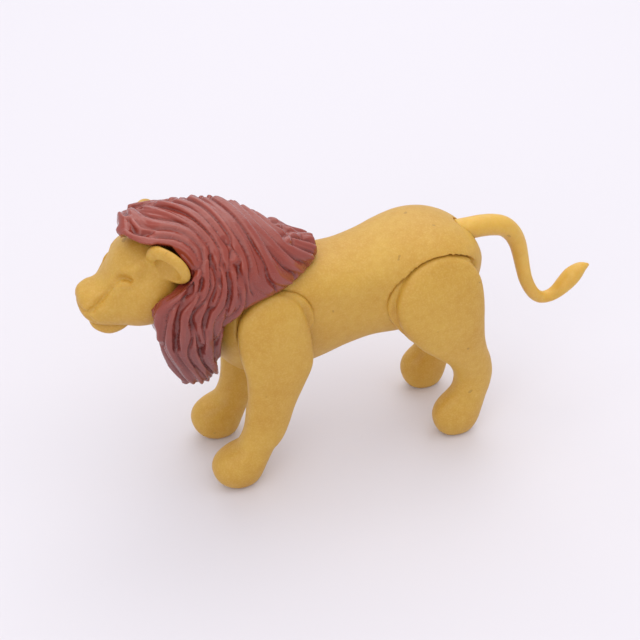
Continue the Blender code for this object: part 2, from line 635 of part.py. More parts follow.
def neck_rings(margin):
    """Rings of the arm from the pin into the head, grown by a margin."""
    along = Vector((0, -NECK_RUN, NECK_RISE))
    length = along.length
    along.normalize()
    across = Vector((0, along.z, -along.y))
    rings = []
    last = len(NECK_STATION_SHARES) - 1
    for index, (share, thickness) in enumerate(NECK_STATION_SHARES):
        radius = thickness * NECK_DISC_RADIUS
        reach = length * share + (margin if index == last else 0)
        middle = Vector((0, NECK_PIN_Y, NECK_PIN_HEIGHT)) + along * reach
        width = min(radius, NECK_HALF_WIDTH - GAP) + margin
        rings.append([middle + Vector((width * math.cos(math.tau * step / AXLE_SEGMENTS), 0, 0))
                      + across * (radius + margin) * math.sin(math.tau * step / AXLE_SEGMENTS)
                      for step in range(AXLE_SEGMENTS)])
    return rings


def build_neck(material, pin_material):
    """Neck arm with its hinge disc, and the pin that it nods on."""
    neck = cylinder_x("neck", NECK_PIN_Y, NECK_PIN_HEIGHT, NECK_DISC_RADIUS, -NECK_HALF_WIDTH,
                      NECK_HALF_WIDTH, PEG_SEGMENTS + AXLE_SEGMENTS // 2, material)
    fuse(neck, add_object("neck_arm", loft_bmesh(neck_rings(0.0))))
    cut(neck, cylinder_x("neck_bore", NECK_PIN_Y, NECK_PIN_HEIGHT, NECK_PIN_RADIUS + GAP,
                         -NECK_HALF_WIDTH - OVERRUN, NECK_HALF_WIDTH + OVERRUN, AXLE_SEGMENTS))
    place_origin(neck, NECK_PIN_Y, NECK_PIN_HEIGHT)
    cylinder_x("neck_pin", NECK_PIN_Y, NECK_PIN_HEIGHT, NECK_PIN_RADIUS, -NECK_PIN_HALF_LENGTH,
               NECK_PIN_HALF_LENGTH, AXLE_SEGMENTS, pin_material)


def head_rings(margin):
    """Rings of the skull from the nose back, grown by a margin."""
    rings = []
    last = len(HEAD_STATION_SHARES) - 1
    for index, (along, top, bottom, width) in enumerate(HEAD_STATION_SHARES):
        y = NOSE_Y + along * HEAD_LENGTH
        if index == 0:
            y -= margin
        if index == last:
            y += margin
        rings.append(upright_ring(y, HEAD_BASE_Z + top * HEAD_HEIGHT + margin,
                                  HEAD_BASE_Z + bottom * HEAD_HEIGHT - margin,
                                  width * HEAD_WIDTH / 2 + margin, HEAD_POWER, HEAD_WAIST_SHARE,
                                  HEAD_SEGMENTS))
    return rings


def ear_disc(name, side, radius, thickness, forward):
    """Flattened ball in the place of an ear; forward moves it along the way the ear faces."""
    bm = bmesh.new()
    bmesh.ops.create_uvsphere(bm, u_segments=EAR_SEGMENTS, v_segments=EAR_SEGMENTS // 2, radius=radius)
    bmesh.ops.scale(bm, vec=(1.0, thickness / (2 * radius), 1.0), verts=bm.verts)
    bmesh.ops.translate(bm, vec=(0, -forward, 0), verts=bm.verts)
    turn = Matrix.Rotation(side * EAR_TURN, 3, 'Z') @ Matrix.Rotation(EAR_TILT, 3, 'X')
    bmesh.ops.transform(bm, matrix=turn.to_4x4(), verts=bm.verts)
    bmesh.ops.translate(bm, vec=(side * EAR_OUT, NOSE_Y + EAR_BACK, HEAD_BASE_Z + EAR_RISE), verts=bm.verts)
    return add_object(name, bm)


def jaw_rings(margin):
    """Rings of the chin, grown by a margin."""
    rings = []
    last = len(JAW_STATION_SHARES) - 1
    for index, (along, top, bottom, width) in enumerate(JAW_STATION_SHARES):
        y = NOSE_Y + JAW_SETBACK + along * JAW_LENGTH
        y += {0: -margin, last: margin}.get(index, 0.0)
        base = HEAD_BASE_Z - JAW_DROP
        rings.append(upright_ring(y, base + top * JAW_BODY_HEIGHT + margin,
                                  base + bottom * JAW_BODY_HEIGHT - margin,
                                  width * JAW_WIDTH / 2 + margin, HEAD_POWER, JAW_WAIST_SHARE, JAW_SEGMENTS))
    return rings


def jaw_post(name, margin):
    """Post on the jaw that plugs into the head."""
    front = NOSE_Y + JAW_SETBACK + JAW_LENGTH / 2 - JAW_POST_LENGTH / 2
    base = HEAD_BASE_Z - JAW_DROP + JAW_BODY_HEIGHT / 2
    return box(name, (-JAW_POST_HALF_WIDTH - margin, front - margin, base),
               (JAW_POST_HALF_WIDTH + margin, front + JAW_POST_LENGTH + margin,
                base + JAW_BODY_HEIGHT / 2 + JAW_POST_RISE + margin))


def build_head(material):
    """Head with ears, a socket for the neck and a seat for the jaw."""
    head = add_object("head", loft_bmesh(head_rings(0.0)), material)
    for side in (-1, 1):
        ear = ear_disc(f"ear_{side}", side, EAR_RADIUS, EAR_THICKNESS, 0.0)
        fuse(head, ear)
        cut(head, ear_disc(f"ear_dent_{side}", side, EAR_RADIUS * EAR_DENT_SHARE, EAR_THICKNESS,
                           EAR_THICKNESS * EAR_DENT_SHARE))
    cut(head, add_object("neck_room", loft_bmesh(neck_rings(GAP))),
        add_object("jaw_room", loft_bmesh(jaw_rings(GAP))), jaw_post("jaw_post_room", GAP))
    place_origin(head, NECK_PIN_Y, NECK_PIN_HEIGHT)
    return head


def build_jaw(material):
    """Lower jaw with its post."""
    jaw = add_object("jaw", loft_bmesh(jaw_rings(0.0)), material)
    fuse(jaw, jaw_post("jaw_post", 0.0))
    return jaw


def strand(angle, phase):
    """Ripple of the hood's strands at an angle; it fades out on the underside."""
    fade = min(max(0.5 + 2 * math.sin(angle), 0.0), 1.0)
    from_top = abs(math.remainder(angle - math.pi / 2, math.tau))
    return LOCK_DEPTH_SHARE * fade * math.sin(LOCK_COUNT * from_top + phase)


def hood_rings():
    """Rings of the hood over the crown and shoulders, rippled into strands."""
    rings = []
    for along, top, bottom, width in HOOD_STATION_SHARES:
        phase = math.tau * LOCK_TWIST * along
        rings.append(upright_ring(MANE_FRONT_Y + along * MANE_LENGTH, MANE_BASE_Z + top * MANE_HEIGHT,
                                  MANE_BASE_Z + bottom * MANE_HEIGHT, width * MANE_WIDTH / 2,
                                  MANE_POWER, MANE_WAIST_SHARE, MANE_SEGMENTS,
                                  ripple=lambda angle, p=phase: strand(angle, p)))
    return rings


def lobe_rings():
    """Rings of the left side lobe, rippled into strands."""
    rings = []
    for height, front, back, inner, outer in LOBE_STATION_SHARES:
        phase = math.tau * LOCK_TWIST * height
        rings.append(level_ring(MANE_BASE_Z + height * MANE_HEIGHT, MANE_FRONT_Y + front * MANE_LENGTH,
                                MANE_FRONT_Y + back * MANE_LENGTH, inner * MANE_WIDTH / 2,
                                outer * MANE_WIDTH / 2, LOBE_POWER, LOBE_SEGMENTS,
                                ripple=lambda angle, p=phase: LOCK_DEPTH_SHARE
                                * math.sin(LOBE_LOCKS * angle + p)))
    return rings


def build_mane(material):
    """Soft hood with two side lobes, cut clear of all that it goes round and moves past."""
    mane = add_object("mane", faceted_loft(hood_rings()), material)
    lobe = lobe_rings()
    fuse(mane, add_object("mane_left_lobe", faceted_loft(lobe)),
         add_object("mane_right_lobe", faceted_loft(mirrored(lobe))))
    torso_room = add_object("mane_torso_room", faceted_loft(torso_rings(SWING_GAP)))
    for step in range(SWEEP_STEPS, 0, -1):
        cut(mane, turned_copy(torso_room, f"mane_torso_room_{step}", -NOD_RANGE * step / SWEEP_STEPS,
                              NECK_PIN_Y, NECK_PIN_HEIGHT))
    cut(mane, torso_room)
    cut(mane, add_object("mane_neck_room", loft_bmesh(neck_rings(GAP))),
        cylinder_x("mane_disc_room", NECK_PIN_Y, NECK_PIN_HEIGHT, NECK_DISC_RADIUS + GAP,
                   -NECK_HALF_WIDTH - GAP, NECK_HALF_WIDTH + GAP, POCKET_SEGMENTS // 2),
        add_object("mane_head_room", loft_bmesh(head_rings(GAP))))
    for side in (-1, 1):
        cut(mane, ear_disc(f"mane_ear_room_{side}", side, EAR_RADIUS + GAP, EAR_THICKNESS + 2 * GAP, 0.0),
            cylinder_x(f"mane_leg_room_{side}", FRONT_AXLE_Y, SHOULDER_HEIGHT, SHOULDER_RADIUS + MANE_LEG_GAP,
                       side * POCKET_FLOOR_X, side * (FRONT_LEG_BULGE + SWING_GAP), POCKET_SEGMENTS))
    cut(mane, box("mane_hem_room", (-MANE_WIDTH / 2 - OVERRUN, FRONT_AXLE_Y, SHOULDER_HEIGHT),
                  (MANE_WIDTH / 2 + OVERRUN, MANE_FRONT_Y + MANE_LENGTH + OVERRUN,
                   SHOULDER_HEIGHT + SHOULDER_RADIUS + MANE_LEG_GAP)))
    place_origin(mane, NECK_PIN_Y, NECK_PIN_HEIGHT)
    return mane


def main():
    """Build the lion."""
    clear_scene()
    yellow = plastic("ochre_yellow_plastic", YELLOW, MATT)
    tail_yellow = plastic("tail_yellow_plastic", TAIL_YELLOW, SATIN)
    red_brown = plastic("red_brown_soft_plastic", RED_BROWN, SATIN)
    inner_grey = plastic("inner_grey_plastic", INNER_GREY, MATT)
    build_torso(yellow)
    build_belly_plate(yellow)
    build_leg_pair("front", FRONT_LEG_STATION_SHARES, FRONT_AXLE_Y, SHOULDER_HEIGHT, SHOULDER_RADIUS,
                   FRONT_PAW_LENGTH, FRONT_LEG_BULGE, yellow, inner_grey)
    build_leg_pair("rear", REAR_LEG_STATION_SHARES, REAR_AXLE_Y, HIP_HEIGHT, HAUNCH_RADIUS,
                   REAR_PAW_LENGTH, REAR_LEG_BULGE, yellow, inner_grey)
    build_tail(tail_yellow)
    build_neck(yellow, inner_grey)
    build_head(yellow)
    build_jaw(yellow)
    build_mane(red_brown)


main()
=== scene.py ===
"""Looks of the toy lion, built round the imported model.

The lion faces -Y and stands on Z = 0; its left side is +X. Lengths are in metres. Every piece that
shows is modelled again here with a fine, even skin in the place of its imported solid.
"""
import logging
import math
from dataclasses import dataclass, field
from enum import Enum
from typing import Iterable

import bmesh
import bpy
import numpy as np
from mathutils import Matrix, Vector
from mathutils.bvhtree import BVHTree


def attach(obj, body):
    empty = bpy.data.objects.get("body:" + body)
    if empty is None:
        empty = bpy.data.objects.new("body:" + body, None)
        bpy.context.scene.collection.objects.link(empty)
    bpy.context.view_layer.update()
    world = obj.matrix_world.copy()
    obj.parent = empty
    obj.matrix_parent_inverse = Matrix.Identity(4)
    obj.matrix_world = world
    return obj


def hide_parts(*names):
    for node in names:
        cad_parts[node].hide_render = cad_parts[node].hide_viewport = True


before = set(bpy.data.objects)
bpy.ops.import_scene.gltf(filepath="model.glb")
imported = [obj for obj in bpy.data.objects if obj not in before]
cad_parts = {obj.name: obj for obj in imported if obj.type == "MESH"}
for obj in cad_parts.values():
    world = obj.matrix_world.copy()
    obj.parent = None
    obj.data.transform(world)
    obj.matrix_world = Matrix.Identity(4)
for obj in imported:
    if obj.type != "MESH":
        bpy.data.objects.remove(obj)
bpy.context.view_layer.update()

LOG = logging.getLogger("toy_lion")
MM = 0.001
Rows = tuple[tuple[float, ...], ...]
Ring = list[Vector]
Tone = tuple[float, float, float, float]
Strokes = tuple[tuple[float, float, Rows], ...]

GAP = 0.3 * MM  # between any two pieces
OVERRUN = 3.0 * MM  # how far a cutter runs past what it cuts
RIM_COUNT = 96  # points round a leg's pocket and its plate
ACROSS = Vector((1, 0, 0))
UP = Vector((0, 0, 1))

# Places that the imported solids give
FRONT_AXLE = Vector((0.0, -20.75 * MM, 39.4 * MM))
REAR_AXLE = Vector((0.0, 14.95 * MM, 37.5 * MM))
NECK_PIN = Vector((0.0, -29.05 * MM, 42.0 * MM))
TAIL_PEG = Vector((0.0, 28.25 * MM, 47.7 * MM))
CHEST_Y = -32.25 * MM
NOSE_Y = -57.25 * MM
HEAD_BASE_Z = 41.2 * MM
SHOULDER_RADIUS = 8.7 * MM
HAUNCH_RADIUS = 11.4 * MM

# Outlines, as shares of the sizes of the piece that they shape
TORSO_SHARES: Rows = (
    (0.0, 0.72, 0.4, 0.16), (0.01, 0.8, 0.31, 0.36), (0.035, 0.87, 0.21, 0.58), (0.08, 0.92, 0.11, 0.78),
    (0.14, 0.945, 0.035, 0.86), (0.205, 0.94, 0.0, 0.86), (0.29, 0.925, 0.0, 0.77),
    (0.39, 0.905, 0.04, 0.73), (0.48, 0.905, 0.095, 0.715), (0.57, 0.935, 0.135, 0.76),
    (0.66, 0.975, 0.145, 0.88), (0.745, 1.0, 0.16, 0.95), (0.825, 0.985, 0.2, 0.94),
    (0.89, 0.94, 0.26, 0.83), (0.94, 0.87, 0.33, 0.65), (0.975, 0.77, 0.41, 0.43),
    (0.993, 0.66, 0.475, 0.25), (1.0, 0.6, 0.53, 0.12),
)
FRONT_LEG_SHARES: Rows = (
    (0.0, -0.865, -0.455, 0.467, 0.772), (0.013, -0.955, -0.385, 0.402, 0.827),
    (0.038, -1.065, -0.305, 0.347, 0.882), (0.074, -1.145, -0.245, 0.322, 0.922),
    (0.116, -1.17, -0.175, 0.322, 0.932), (0.158, -1.115, -0.095, 0.342, 0.917),
    (0.19, -0.975, -0.025, 0.372, 0.892), (0.215, -0.757, 0.06, 0.402, 0.882),
    (0.25, -0.652, 0.145, 0.417, 0.882), (0.315, -0.568, 0.235, 0.434, 0.889),
    (0.42, -0.528, 0.345, 0.464, 0.919), (0.527, -0.509, 0.495, 0.524, 0.959),
    (0.61, -0.53, 0.6, 0.595, 0.99), (0.67, -0.575, 0.625, 0.62, 1.0), (0.738, -0.63, 0.605, 0.62, 1.005),
    (0.81, -0.655, 0.56, 0.62, 0.995), (0.87, -0.645, 0.505, 0.62, 0.975), (0.92, -0.58, 0.43, 0.62, 0.93),
    (0.96, -0.43, 0.33, 0.62, 0.87), (0.986, -0.255, 0.195, 0.62, 0.8), (0.998, -0.1, 0.06, 0.64, 0.745),
)
REAR_LEG_SHARES: Rows = (
    (0.0, 0.37, 0.82, 0.488, 0.753), (0.013, 0.285, 0.89, 0.438, 0.803), (0.038, 0.19, 0.955, 0.403, 0.843),
    (0.074, 0.125, 1.01, 0.388, 0.873), (0.116, 0.095, 1.05, 0.388, 0.878),
    (0.158, 0.125, 1.09, 0.403, 0.868), (0.19, 0.215, 1.12, 0.413, 0.853),
    (0.22, 0.345, 1.15, 0.423, 0.843), (0.26, 0.455, 1.18, 0.428, 0.848),
    (0.336, 0.46, 1.195, 0.438, 0.863), (0.42, 0.287, 1.113, 0.465, 0.905),
    (0.49, -0.014, 0.996, 0.515, 0.945), (0.57, -0.363, 0.897, 0.581, 0.986),
    (0.66, -0.64, 0.85, 0.595, 1.005), (0.73, -0.78, 0.83, 0.595, 1.0), (0.81, -0.83, 0.79, 0.595, 0.975),
    (0.88, -0.76, 0.72, 0.595, 0.925), (0.935, -0.61, 0.59, 0.595, 0.855), (0.97, -0.43, 0.42, 0.595, 0.8),
    (0.99, -0.24, 0.23, 0.595, 0.75), (0.998, -0.1, 0.09, 0.61, 0.715),
)
TAIL_SHARES: Rows = (
    (0.0, 0.0, 1.0), (0.095, 0.0, 1.0), (0.175, 0.0, 0.99), (0.255, -0.015, 0.97), (0.33, -0.055, 0.92),
    (0.397, -0.15, 0.86), (0.445, -0.28, 0.79), (0.477, -0.43, 0.73), (0.504, -0.58, 0.68),
    (0.54, -0.745, 0.64), (0.598, -0.905, 0.6), (0.66, -0.99, 0.58), (0.727, -1.0, 0.6),
    (0.781, -0.965, 0.68), (0.834, -0.89, 0.82), (0.883, -0.81, 0.86), (0.94, -0.74, 0.6),
    (1.0, -0.715, 0.12),
)
HEAD_SHARES: Rows = (
    (0.0, 0.425, 0.345, 0.14), (0.012, 0.46, 0.29, 0.34), (0.045, 0.495, 0.23, 0.5),
    (0.11, 0.53, 0.165, 0.6), (0.19, 0.56, 0.125, 0.64), (0.255, 0.61, 0.105, 0.68),
    (0.315, 0.7, 0.095, 0.74), (0.375, 0.795, 0.08, 0.8), (0.44, 0.875, 0.06, 0.86),
    (0.52, 0.94, 0.04, 0.94), (0.62, 0.975, 0.035, 0.99), (0.73, 0.985, 0.045, 1.0),
    (0.84, 0.95, 0.08, 0.93), (0.93, 0.86, 0.16, 0.76), (1.0, 0.72, 0.28, 0.48),
)
JAW_SHARES: Rows = (
    (0.0, 0.86, 0.62, 0.4), (0.06, 0.95, 0.42, 0.68), (0.18, 1.0, 0.22, 0.88), (0.36, 1.0, 0.05, 1.0),
    (0.55, 1.0, 0.03, 1.0), (0.74, 0.98, 0.14, 0.94), (0.9, 0.9, 0.32, 0.76), (1.0, 0.78, 0.5, 0.4),
)
HOOD_SHARES: Rows = (
    (0.0, 0.968, 0.865, 0.2), (0.015, 0.983, 0.845, 0.36), (0.06, 0.978, 0.835, 0.52),
    (0.12, 0.958, 0.8, 0.72), (0.2, 0.97, 0.56, 0.9), (0.28, 0.973, 0.41, 0.99), (0.37, 0.968, 0.37, 1.01),
    (0.47, 0.95, 0.39, 1.0), (0.57, 0.918, 0.43, 0.97), (0.68, 0.833, 0.47, 0.91), (0.79, 0.76, 0.5, 0.75),
    (0.89, 0.694, 0.53, 0.52), (0.96, 0.664, 0.56, 0.34), (1.0, 0.65, 0.58, 0.16),
)
LOBE_SHARES: Rows = (
    (0.81, 0.26, 0.5, 0.35, 0.64), (0.73, 0.2, 0.525, 0.28, 0.81), (0.655, 0.14, 0.54, 0.22, 0.94),
    (0.577, 0.09, 0.545, 0.2, 1.01), (0.5, 0.08, 0.515, 0.16, 1.01), (0.404, 0.085, 0.47, 0.14, 0.99),
    (0.308, 0.095, 0.43, 0.14, 0.95), (0.212, 0.115, 0.41, 0.16, 0.9), (0.115, 0.15, 0.4, 0.2, 0.84),
    (0.048, 0.19, 0.385, 0.27, 0.76), (0.0, 0.24, 0.345, 0.37, 0.64),
)
# Locks of hair, from the parting to their tips: (across, along, height)
LOCK_SHARES: tuple[Rows, ...] = (
    ((0.04, 0.0, 0.94), (0.47, 0.08, 0.93), (0.62, 0.24, 0.9), (0.8, 0.32, 0.78), (0.9, 0.22, 0.66),
     (0.78, 0.11, 0.55), (0.76, 0.1, 0.38)),
    ((-0.24, 0.02, 0.97), (0.3, 0.08, 0.97), (0.52, 0.23, 0.94), (0.76, 0.33, 0.84), (0.92, 0.28, 0.69),
     (0.91, 0.17, 0.55), (0.87, 0.14, 0.38), (0.82, 0.19, 0.21), (0.74, 0.25, 0.05)),
    ((-0.38, 0.08, 0.95), (0.15, 0.14, 0.98), (0.48, 0.28, 0.95), (0.76, 0.36, 0.83), (0.94, 0.32, 0.69),
     (0.98, 0.22, 0.54), (0.95, 0.2, 0.37), (0.89, 0.23, 0.2), (0.78, 0.29, 0.04)),
    ((-0.42, 0.14, 0.95), (0.05, 0.24, 0.99), (0.46, 0.33, 0.94), (0.78, 0.4, 0.81), (0.96, 0.37, 0.66),
     (0.99, 0.29, 0.51), (0.96, 0.26, 0.34), (0.87, 0.29, 0.17), (0.71, 0.33, 0.03)),
    ((-0.42, 0.22, 0.96), (0.02, 0.32, 0.98), (0.44, 0.39, 0.93), (0.78, 0.44, 0.8), (0.97, 0.42, 0.65),
     (1.01, 0.35, 0.51), (0.96, 0.32, 0.35), (0.85, 0.35, 0.19), (0.68, 0.38, 0.06)),
    ((-0.42, 0.31, 0.95), (0.05, 0.39, 0.96), (0.52, 0.45, 0.89), (0.84, 0.48, 0.74), (1.0, 0.46, 0.59),
     (0.96, 0.4, 0.44), (0.84, 0.4, 0.3), (0.7, 0.41, 0.17)),
    ((-0.42, 0.38, 0.94), (0.1, 0.45, 0.94), (0.6, 0.5, 0.85), (0.9, 0.53, 0.69), (0.99, 0.51, 0.55),
     (0.9, 0.46, 0.42)),
    ((-0.42, 0.45, 0.92), (0.15, 0.51, 0.92), (0.68, 0.56, 0.8), (0.93, 0.6, 0.66), (0.92, 0.66, 0.58)),
    ((-0.42, 0.51, 0.9), (0.15, 0.57, 0.89), (0.64, 0.63, 0.77), (0.84, 0.7, 0.65), (0.76, 0.77, 0.58)),
    ((-0.42, 0.58, 0.86), (0.12, 0.64, 0.85), (0.52, 0.71, 0.75), (0.65, 0.79, 0.66), (0.58, 0.86, 0.59)),
    ((-0.42, 0.64, 0.82), (0.08, 0.71, 0.8), (0.42, 0.79, 0.73), (0.45, 0.87, 0.66), (0.36, 0.93, 0.61)),
    ((-0.42, 0.71, 0.78), (-0.02, 0.78, 0.77), (0.22, 0.87, 0.71), (0.2, 0.96, 0.63)),
    ((-0.42, 0.79, 0.73), (-0.14, 0.86, 0.72), (0.0, 0.93, 0.69), (0.03, 0.98, 0.65)),
    ((0.62, 0.09, 0.56), (0.57, 0.1, 0.38), (0.58, 0.15, 0.2), (0.6, 0.23, 0.03)),
)


class Side(Enum):
    """Which side of the lion a piece is on, as the sign of its X."""

    LEFT = 1
    RIGHT = -1


class Slot(Enum):
    """Material slots of the record."""

    YELLOW = "ochre_yellow_plastic"
    TAIL = "tail_yellow_plastic"
    MANE = "red_brown_soft_plastic"
    INNER = "inner_grey_plastic"


# Shaping


def resample(rows: Rows, count: int) -> list[tuple[float, ...]]:
    """Draw a smooth curve through the rows of a table.

    Args:
        rows: the table, one row for each station.
        count: how many rows to return.

    Returns:
        The new rows, evenly spread over the old ones.
    """
    table = np.array(rows)
    place = np.linspace(0.0, len(rows) - 1, count)
    index = np.minimum(place.astype(int), len(rows) - 2)
    part = (place - index)[:, None]
    before = table[np.maximum(index - 1, 0)]
    low, high = table[index], table[index + 1]
    after = table[np.minimum(index + 2, len(rows) - 1)]
    smooth = low + 0.5 * part * (high - before + part * (2 * before - 5 * low + 4 * high - after
                                                         + part * (3 * (low - high) + after - before)))
    return [tuple(row) for row in smooth.tolist()]


def rounded(angle: float, power: float) -> tuple[float, float]:
    """Return a point of a unit superellipse at an angle."""
    side, rise = math.cos(angle), math.sin(angle)
    return (math.copysign(abs(side) ** (2 / power), side), math.copysign(abs(rise) ** (2 / power), rise))


def upright_ring(y: float, top: float, bottom: float, half_width: float, power: float, waist: float,
                 count: int) -> Ring:
    """Return a ring that stands across the lion.

    Args:
        y: its place along the lion.
        top: the height of its top.
        bottom: the height of its bottom.
        half_width: half its width.
        power: the power that rounds it: two is an ellipse, and more is squarer.
        waist: the share of its height at which it is widest.
        count: how many points it has.

    Returns:
        The ring.
    """
    middle = bottom + waist * (top - bottom)
    ring = []
    for index in range(count):
        side, rise = rounded(math.tau * index / count, power)
        reach = top - middle if rise > 0 else middle - bottom
        ring.append(Vector((side * half_width, y, middle + rise * reach)))
    return ring


def level_ring(z: float, front: float, back: float, inner: float, outer: float, power: float,
               count: int) -> Ring:
    """Return a level ring.

    Args:
        z: its height.
        front: the Y of its front.
        back: the Y of its back.
        inner: the X of its inner side.
        outer: the X of its outer side.
        power: the power that rounds it: two is an ellipse, and more is squarer.
        count: how many points it has.

    Returns:
        The ring.
    """
    ring = []
    for index in range(count):
        side, along = rounded(math.tau * index / count, power)
        ring.append(Vector(((inner + outer) / 2 + side * (outer - inner) / 2,
                            (front + back) / 2 + along * (back - front) / 2, z)))
    return ring


def round_ring(middle: Vector, across: Vector, up: Vector, radius: float, count: int) -> Ring:
    """Return a circle round a middle point, in the plane of two unit directions."""
    return [middle + radius * (math.cos(math.tau * index / count) * across
                               + math.sin(math.tau * index / count) * up) for index in range(count)]


def on_side(side: Side, rings: list[Ring]) -> list[Ring]:
    """Return rings of the left side as they are on a side."""
    return [[Vector((side.value * point.x, point.y, point.z)) for point in ring] for ring in rings]


def heading(route: list[Vector], index: int) -> Vector:
    """Return the direction of a route at one of its points."""
    return (route[min(index + 1, len(route) - 1)] - route[max(index - 1, 0)]).normalized()


@dataclass(frozen=True)
class Profile:
    """A body that lies along the lion: its place, its size and its outline in shares of that size."""

    shares: Rows
    front: float
    base: float
    length: float
    height: float
    width: float
    power: float
    waist: float
    rows: int
    count: int

    def rings(self, margin: float = 0.0, rise: float = 0.0, rows: int = 0) -> list[Ring]:
        """Return rings round the body, front first.

        Args:
            margin: how far they are grown on all sides.
            rise: how far they are raised.
            rows: how many there are, or zero for the body's own number.

        Returns:
            The rings.
        """
        table = resample(self.shares, rows or self.rows)
        ends = {0: -margin, len(table) - 1: margin}
        return [upright_ring(self.front + along * self.length + ends.get(index, 0.0),
                             self.base + top * self.height + margin + rise,
                             self.base + bottom * self.height - margin + rise,
                             width * self.width / 2 + margin, self.power, self.waist, self.count)
                for index, (along, top, bottom, width) in enumerate(table)]


class Clay:
    """A closed mesh in the making, which later becomes a named piece or a cutter."""

    def __init__(self) -> None:
        """Start with no clay."""
        self.bm = bmesh.new()

    def loft(self, rings: list[Ring]) -> "Clay":
        """Bridge a row of rings into a skin and close its ends.

        Args:
            rings: rings of equal counts, from one end to the other.

        Returns:
            This clay.
        """
        loops = []
        for ring in rings:
            verts = bmesh.ops.create_circle(self.bm, segments=len(ring), radius=MM)["verts"]
            for vert, place in zip(verts, ring):
                vert.co = place
            loops.append(list(dict.fromkeys(edge for vert in verts for edge in vert.link_edges)))
        for near, far in zip(loops, loops[1:]):
            bmesh.ops.bridge_loops(self.bm, edges=near + far)
        for end in (loops[0], loops[-1]):
            bmesh.ops.edgeloop_fill(self.bm, edges=end)
        return self

    def ball(self, matrix: Matrix) -> "Clay":
        """Add a unit ball placed by a matrix."""
        bmesh.ops.create_uvsphere(self.bm, u_segments=32, v_segments=16, radius=1.0, matrix=matrix)
        return self

    def block(self, low: Vector, high: Vector) -> "Clay":
        """Add a box between two corners.

        Args:
            low: the corner with the least X, Y and Z.
            high: the corner across from it.

        Returns:
            This clay.
        """
        size = high - low
        matrix = Matrix.Translation((low + high) / 2) @ Matrix.Diagonal((*size, 1.0))
        bmesh.ops.create_cube(self.bm, size=1.0, matrix=matrix)
        return self

    def tube(self, route: list[Vector], radius: float, count: int = 12) -> "Clay":
        """Add a round tube along a route.

        Args:
            route: points along its middle.
            radius: its radius.
            count: how many points go round it.

        Returns:
            This clay.
        """
        leaning = Vector((0.31, 0.17, 0.93))
        rings = []
        for index, middle in enumerate(route):
            ahead = heading(route, index)
            across = ahead.cross(leaning).normalized()
            rings.append(round_ring(middle, across, ahead.cross(across), radius, count))
        return self.loft(rings)

    def finish(self, name: str) -> bpy.types.Object:
        """Make the clay an object of the scene, which uses it up.

        Args:
            name: the object's name.

        Returns:
            The object.
        """
        bmesh.ops.recalc_face_normals(self.bm, faces=self.bm.faces)
        mesh = bpy.data.meshes.new(name)
        self.bm.to_mesh(mesh)
        self.bm.free()
        mesh.shade_smooth()
        piece = bpy.data.objects.new(name, mesh)
        bpy.context.scene.collection.objects.link(piece)
        return piece


def cylinder(start: Vector, end: Vector, radius: float, count: int) -> Clay:
    """Make a plain cylinder between two points.

    Args:
        start: the middle of one end.
        end: the middle of the other end.
        radius: its radius.
        count: how many points go round it.

    Returns:
        The cylinder.
    """
    ahead = (end - start).normalized()
    across = ahead.orthogonal().normalized()
    up = ahead.cross(across)
    return Clay().loft([round_ring(place, across, up, radius, count) for place in (start, end)])


def bore(middle: Vector, half: float, radius: float, count: int) -> Clay:
    """Return a cylinder across the lion, of a half length on each side of its middle."""
    return cylinder(middle - half * ACROSS, middle + half * ACROSS, radius, count)


def settle(piece: bpy.types.Object) -> None:
    """Apply all of a piece's modifiers to its mesh.

    Args:
        piece: the piece.
    """
    graph = bpy.context.evaluated_depsgraph_get()
    mesh = bpy.data.meshes.new_from_object(piece.evaluated_get(graph))
    old = piece.data
    piece.modifiers.clear()
    piece.data = mesh
    bpy.data.meshes.remove(old)
    mesh.name = piece.name
    mesh.shade_smooth()


def carve(piece: bpy.types.Object, tools: Iterable[Clay], operation: str = "DIFFERENCE") -> None:
    """Take tools out of a piece, or keep only what they hold.

    Args:
        piece: the piece to cut.
        tools: closed clays that are used up.
        operation: a Boolean operation's name.
    """
    made = [tool.finish(f"tool_{index}") for index, tool in enumerate(tools)]
    for tool in made:
        boolean = piece.modifiers.new("Carve", "BOOLEAN")
        boolean.operation = operation
        boolean.solver = "EXACT"
        boolean.object = tool
    settle(piece)
    for tool in made:
        mesh = tool.data
        bpy.data.objects.remove(tool)
        bpy.data.meshes.remove(mesh)


def reskin(piece: bpy.types.Object, grain: float, rounds: int) -> None:
    """Give a piece an even skin of small faces and ease its edges.

    Args:
        piece: the piece, which may be several closed shells that overlap.
        grain: size of the faces.
        rounds: how many times the skin is eased.
    """
    skin = piece.modifiers.new("Skin", "REMESH")
    skin.mode = "VOXEL"
    skin.voxel_size = grain
    skin.use_smooth_shade = True
    ease = piece.modifiers.new("Ease", "SMOOTH")
    ease.factor = 0.5
    ease.iterations = rounds
    settle(piece)


